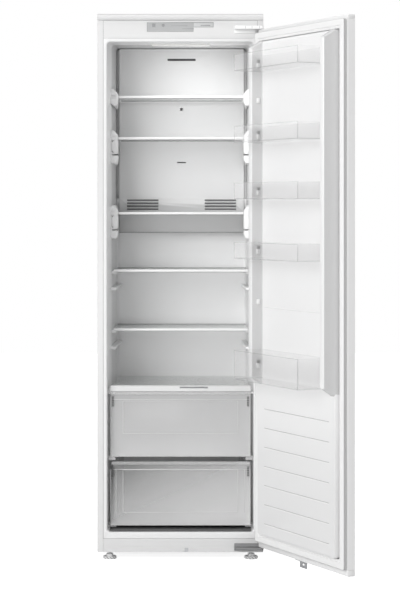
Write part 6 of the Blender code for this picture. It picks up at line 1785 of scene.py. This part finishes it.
for side_name in ("left", "right"):
    low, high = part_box(f"front_foot_{side_name}")
    middle_x = (low.x + high.x) / 2
    middle_y = (low.y + high.y) / 2
    full = (high.x - low.x) / 2
    rise = np.array([0.0, 0.0006, 0.0020, 0.0034, 0.0048, 0.0062, 0.0076, 0.0084, FOOT_PAD_HEIGHT])
    ends = np.minimum(rise, FOOT_PAD_HEIGHT - rise)
    base = full - FOOT_RIM_RADIUS * (1 - smooth_step(ends / FOOT_RIM_RADIUS))
    angle = np.linspace(0, math.tau, 144, endpoint=False)
    wave = np.cos(FOOT_SLOTS * (angle[None, :] + SLOT_SLANT * rise[:, None] * math.tau / 10))
    dip = smooth_step((wave - (1 - SLOT_WIDTH_SHARE)) / SLOT_WIDTH_SHARE)
    radius = base[:, None] - SLOT_DEPTH * dip * smooth_step(ends / FOOT_RIM_RADIUS)[:, None]
    disc = np.stack(
        [
            middle_x + radius * np.cos(angle),
            middle_y + radius * np.sin(angle),
            np.broadcast_to(low.z + rise[:, None], radius.shape),
        ],
        -1,
    )
    stem_rise = np.array([FOOT_PAD_HEIGHT - FOOT_RIM_RADIUS, FOOT_NUT_TOP, FOOT_NUT_TOP, high.z - low.z])
    stem_radius = np.array([FOOT_NUT_RADIUS, FOOT_NUT_RADIUS, FOOT_STEM_RADIUS, FOOT_STEM_RADIUS])[:, None]
    ring = np.linspace(0, math.tau, 24, endpoint=False)
    stem = np.stack(
        [
            middle_x + stem_radius * np.cos(ring),
            middle_y + stem_radius * np.sin(ring),
            np.broadcast_to(low.z + stem_rise[:, None], (4, 24)),
        ],
        -1,
    )
    foot = make_piece(
        f"slotted_foot_{side_name}",
        [joined(disc), joined(stem)],
        foot_white,
        f"front_foot_{side_name}",
        (f"front_foot_{side_name}",),
    )
    # The rim attribute falls to 0 in the slots, where the foot's dark colour paints the shade inside them.
    rim = np.concatenate([(1 - dip * smooth_step(ends / FOOT_RIM_RADIUS)[:, None]).ravel(), np.ones(stem[..., 0].size)])
    foot.data.attributes.new("rim", "FLOAT", "POINT").data.foreach_set("value", rim)
    print("foot", side_name, "radius", round(full, 4))

# %% [markdown]
# The condenser gives the heat to the room behind the cabinet. It is one steel tube bent to and fro, with
# thin wires welded across it in front and behind, and all of it is dipped in black paint. The tube's middle
# line is a row of half circles joined by straight runs, so it needs no loop over its points.

# %% The wire-on-tube condenser
CONDENSER_RUNS = 25
TUBE_RADIUS = 0.0026
TUBE_SIDES = 10
BEND_STEPS = 9
WIRE_RADIUS = 0.0009
WIRES_ACROSS = 35
WIRE_EDGE = 0.012
WIRE_SIDES = 6
CLIP_BLOCK = 0.014
CLIP_HALF = 0.150


def condenser_tube(low, high, middle_y):
    """One tube in flat runs: on each bend x = side * (straight + bend * cos t), z = level + bend * sin t."""
    bend = (high.z - low.z - 2 * TUBE_RADIUS) / (CONDENSER_RUNS - 1) / 2
    straight = high.x - bend - TUBE_RADIUS
    bends = np.arange(CONDENSER_RUNS - 1)[:, None]
    side = np.where(bends % 2 == 0, 1.0, -1.0)
    turn = np.linspace(math.pi / 2, -math.pi / 2, BEND_STEPS)[None, :]
    level = high.z - TUBE_RADIUS - bend - 2 * bend * bends
    path = np.stack([side * (straight + bend * np.cos(turn)), level + bend * np.sin(turn)], -1)
    outwards = np.stack([np.cos(turn) + 0 * side, side * np.sin(turn)], -1)
    path, outwards = path.reshape(-1, 2), outwards.reshape(-1, 2)
    around = np.linspace(0, math.tau, TUBE_SIDES, endpoint=False)
    flat = path[:, None, :] + TUBE_RADIUS * np.cos(around)[None, :, None] * outwards[:, None, :]
    depth = np.broadcast_to(middle_y + TUBE_RADIUS * np.sin(around), flat.shape[:2])
    return joined(np.stack([flat[..., 0], depth, flat[..., 1]], -1))


low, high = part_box("condenser")
middle_y = high.y - 2 * WIRE_RADIUS - TUBE_RADIUS
condenser_parts = [condenser_tube(low, high, middle_y)]
for wire_y in (middle_y - TUBE_RADIUS - WIRE_RADIUS / 2, middle_y + TUBE_RADIUS + WIRE_RADIUS / 2):
    for wire_x in np.linspace(low.x + WIRE_EDGE, high.x - WIRE_EDGE, WIRES_ACROSS):
        condenser_parts.append(
            turned([(WIRE_RADIUS, low.z), (WIRE_RADIUS, high.z)], (wire_x, wire_y, 0.0), 2, WIRE_SIDES)
        )
for clip_x in (-CLIP_HALF, CLIP_HALF):
    for clip_share in (0.1, 0.5, 0.9):
        clip_z = low.z + (high.z - low.z) * clip_share
        condenser_parts.append(
            rounded_bar(
                (clip_x - CLIP_BLOCK, low.y + RIB_GAP, clip_z - CLIP_BLOCK / 2),
                (clip_x + CLIP_BLOCK, middle_y, clip_z + CLIP_BLOCK / 2),
                RIB_GAP,
            )
        )
make_piece("wire_tube_condenser", condenser_parts, black_paint, "cabinet", ("condenser",))
print("condenser runs:", CONDENSER_RUNS, "wires:", 2 * WIRES_ACROSS)

# %% [markdown]
# The compressor's can is two pressed steel shells welded together at a flange round the middle. The shells
# are rounded squares in plan, each ring a superellipse, and straps with rubber feet carry it on the tray.

# %% The compressor
CAN_HALF_X = 0.0865
CAN_HALF_Y = 0.0660
CAN_POWER = 2.7
CAN_LIFT = 0.013
CAN_STEPS = 64
CAN_LEVEL_SHARES = (0, 0.03, 0.09, 0.2, 0.34, 0.455, 0.46, 0.468, 0.49, 0.498, 0.503, 0.62, 0.76, 0.88, 0.95, 0.985, 1)
CAN_REACH_SHARES = (0.5, 0.66, 0.8, 0.9, 0.94, 0.95, 0.965, 1, 1, 0.965, 0.95, 0.935, 0.9, 0.79, 0.63, 0.42, 0.12)
STRAP_WIDTH = 0.022
STRAP_THICK = 0.003
BUFFER_RADIUS = 0.0095
BUFFER_EDGE = 0.011
TERMINAL_HALF = 0.019
TERMINAL_REACH = 0.0085
TERMINAL_LOW = 0.046

low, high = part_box("compressor")
middle_x, middle_y = (low.x + high.x) / 2, (low.y + high.y) / 2
turn = np.linspace(0, math.tau, CAN_STEPS, endpoint=False)
square = [np.sign(wave(turn)) * np.abs(wave(turn)) ** (2 / CAN_POWER) for wave in (np.cos, np.sin)]
reach = np.array(CAN_REACH_SHARES)[:, None]
levels = low.z + CAN_LIFT + (high.z - low.z - CAN_LIFT) * np.array(CAN_LEVEL_SHARES)
can = np.stack(
    [
        middle_x + CAN_HALF_X * reach * square[0],
        middle_y + CAN_HALF_Y * reach * square[1],
        np.broadcast_to(levels[:, None], (len(levels), CAN_STEPS)),
    ],
    -1,
)
compressor_parts = [joined(can)]
buffers = []
for side in (-1, 1):
    strap_x = middle_x + side * (high.x - middle_x - STRAP_WIDTH / 2)
    compressor_parts.append(
        rounded_bar(
            (strap_x - STRAP_WIDTH / 2, low.y, low.z + CAN_LIFT - STRAP_THICK),
            (strap_x + STRAP_WIDTH / 2, high.y, low.z + CAN_LIFT),
            STRAP_THICK / 3,
        )
    )
    for buffer_y in (low.y + BUFFER_EDGE, high.y - BUFFER_EDGE):
        buffers.append(
            turned(
                [(BUFFER_RADIUS, 0.0), (BUFFER_RADIUS, CAN_LIFT - STRAP_THICK - RIB_GAP)], (strap_x, buffer_y, low.z)
            )
        )
compressor_body = body_of_node["compressor"]
make_piece("compressor_can", compressor_parts, black_paint, compressor_body, ("compressor",))
make_piece("compressor_buffers", buffers, seal_grey, compressor_body, ())
terminal_box = rounded_bar(
    (high.x - TERMINAL_REACH, middle_y - TERMINAL_HALF, low.z + TERMINAL_LOW),
    (high.x, middle_y + TERMINAL_HALF, low.z + TERMINAL_LOW + 2 * TERMINAL_HALF),
    STRAP_THICK / 2,
)
make_piece("compressor_terminal_box", [terminal_box], key_grey, compressor_body, ())
print("compressor rings:", len(levels))

# %% Finishes on the CAD nodes that stay as they are
plain_finishes = {
    "insulation": foam_cells,
    "door_foam": foam_cells,
    "evaporator": aluminium,
    "fan_motor": black_paint,
    "evaporator_fan": abs_white,
}
for node, finish in plain_finishes.items():
    mesh = frame["nodes"][node].data
    mesh.materials.clear()
    mesh.materials.append(finish)
print("nodes kept with a new finish:", len(plain_finishes))

# %% [markdown]
# The photograph is a studio shot from far away with the camera level, at the height of the middle shelf and
# a little right of the cabinet's middle. The lens shift puts the horizon where the photograph has it.

# %% Camera
CAMERA_X = 0.064
CAMERA_Z = 1.1242
CAMERA_DISTANCE = 5.878
LENS_LENGTH = 110.3
HORIZON_SHIFT_SHARE = -0.15

camera_data = bpy.data.cameras.new("camera")
camera_data.lens = LENS_LENGTH
camera_data.shift_y = HORIZON_SHIFT_SHARE
camera = bpy.data.objects.new("camera", camera_data)
camera.location = (CAMERA_X, FRONT - CAMERA_DISTANCE, CAMERA_Z)
camera.rotation_euler = (math.pi / 2, 0, 0)
bpy.context.scene.collection.objects.link(camera)
bpy.context.scene.camera = camera
print("camera", tuple(round(value, 3) for value in camera.location))

# %% [markdown]
# The studio is white all round: a broad light from the front left that reaches into the cabin, a weaker one
# further to the left, a low one in front, one from above, a small one under the cabin's lamp, and a white
# world that fills the rest. The floor is one pale sheet.


# %% Lights and floor
def area_light(name, place, target, size, power):
    """A square soft light that faces its target."""
    data = bpy.data.lights.new(name, "AREA")
    data.shape = "SQUARE"
    data.size = size
    data.energy = power
    light = bpy.data.objects.new(name, data)
    light.location = place
    away = np.asarray(target) - np.asarray(place)
    tilt = math.acos(-away[2] / np.linalg.norm(away))
    light.rotation_euler = (tilt, 0, math.atan2(away[1], away[0]) - math.pi / 2)
    bpy.context.scene.collection.objects.link(light)
    return light


FILL_STRENGTH = 0.462
area_light("front left light", (-3.9, FRONT - 4.4, 2.7), (0.0, 0.0, 0.85), 1.8, 66.0)
area_light("front light", (-2.4, FRONT - 6.0, 3.0), (0.0, 0.0, 0.85), 2.5, 170.0)
area_light("low front light", (-0.8, FRONT - 6.0, 0.3), (0.0, 0.0, 0.85), 1.5, 23.0)
area_light("top light", (0.2, FRONT - 0.6, 4.6), (0.1, FRONT, 0.9), 2.0, 30.0)
lamp_light = area_light("lamp light", (0.05, FRONT + 0.10, 1.605), (0.05, FRONT + 0.40, 1.38), 0.12, 0.37)
lamp_light.visible_camera = False
lamp_light.visible_glossy = False

world = bpy.data.worlds.new("white studio")
bpy.context.scene.world = world
world.use_nodes = True
tree = world.node_tree
fill = tree.nodes["Background"]
fill.inputs["Color"].default_value = (1.0, 1.0, 1.0, 1.0)
fill.inputs["Strength"].default_value = FILL_STRENGTH
sweep = add_node(tree, "ShaderNodeBackground", {"Color": (1.0, 1.0, 1.0, 1.0), "Strength": 1.0})
path = add_node(tree, "ShaderNodeLightPath")
shown = add_node(tree, "ShaderNodeMixShader", {0: path.outputs["Is Camera Ray"], 1: fill.outputs[0], 2: sweep.outputs[0]})
tree.links.new(shown.outputs[0], tree.nodes["World Output"].inputs["Surface"])

FLOOR_LIFT = 0.85
floor_z = cad_box[0][2]
floor_mesh = bpy.data.meshes.new("floor")
floor_mesh.from_pydata(
    [(-8.0, -8.0, floor_z), (8.0, -8.0, floor_z), (8.0, 8.0, floor_z), (-8.0, 8.0, floor_z)], [], [(0, 1, 2, 3)]
)
floor = bpy.data.objects.new("floor", floor_mesh)
floor_paint = opaque_finish("pale floor", (0.80, 0.80, 0.80), (0.79, 0.79, 0.79), (0.6, 0.7), dust=0.0, wear=0.0)
floor_mesh.materials.append(floor_paint)
tree = floor_paint.node_tree
path = add_node(tree, "ShaderNodeLightPath")
lift = add_node(tree, "ShaderNodeMath", {0: path.outputs["Is Camera Ray"], 1: FLOOR_LIFT}, operation="MULTIPLY")
tree.nodes["Principled BSDF"].inputs["Emission Color"].default_value = (1.0, 1.0, 1.0, 1.0)
tree.links.new(lift.outputs[0], tree.nodes["Principled BSDF"].inputs["Emission Strength"])
bpy.context.scene.collection.objects.link(floor)
bpy.context.scene.view_settings.view_transform = "Standard"
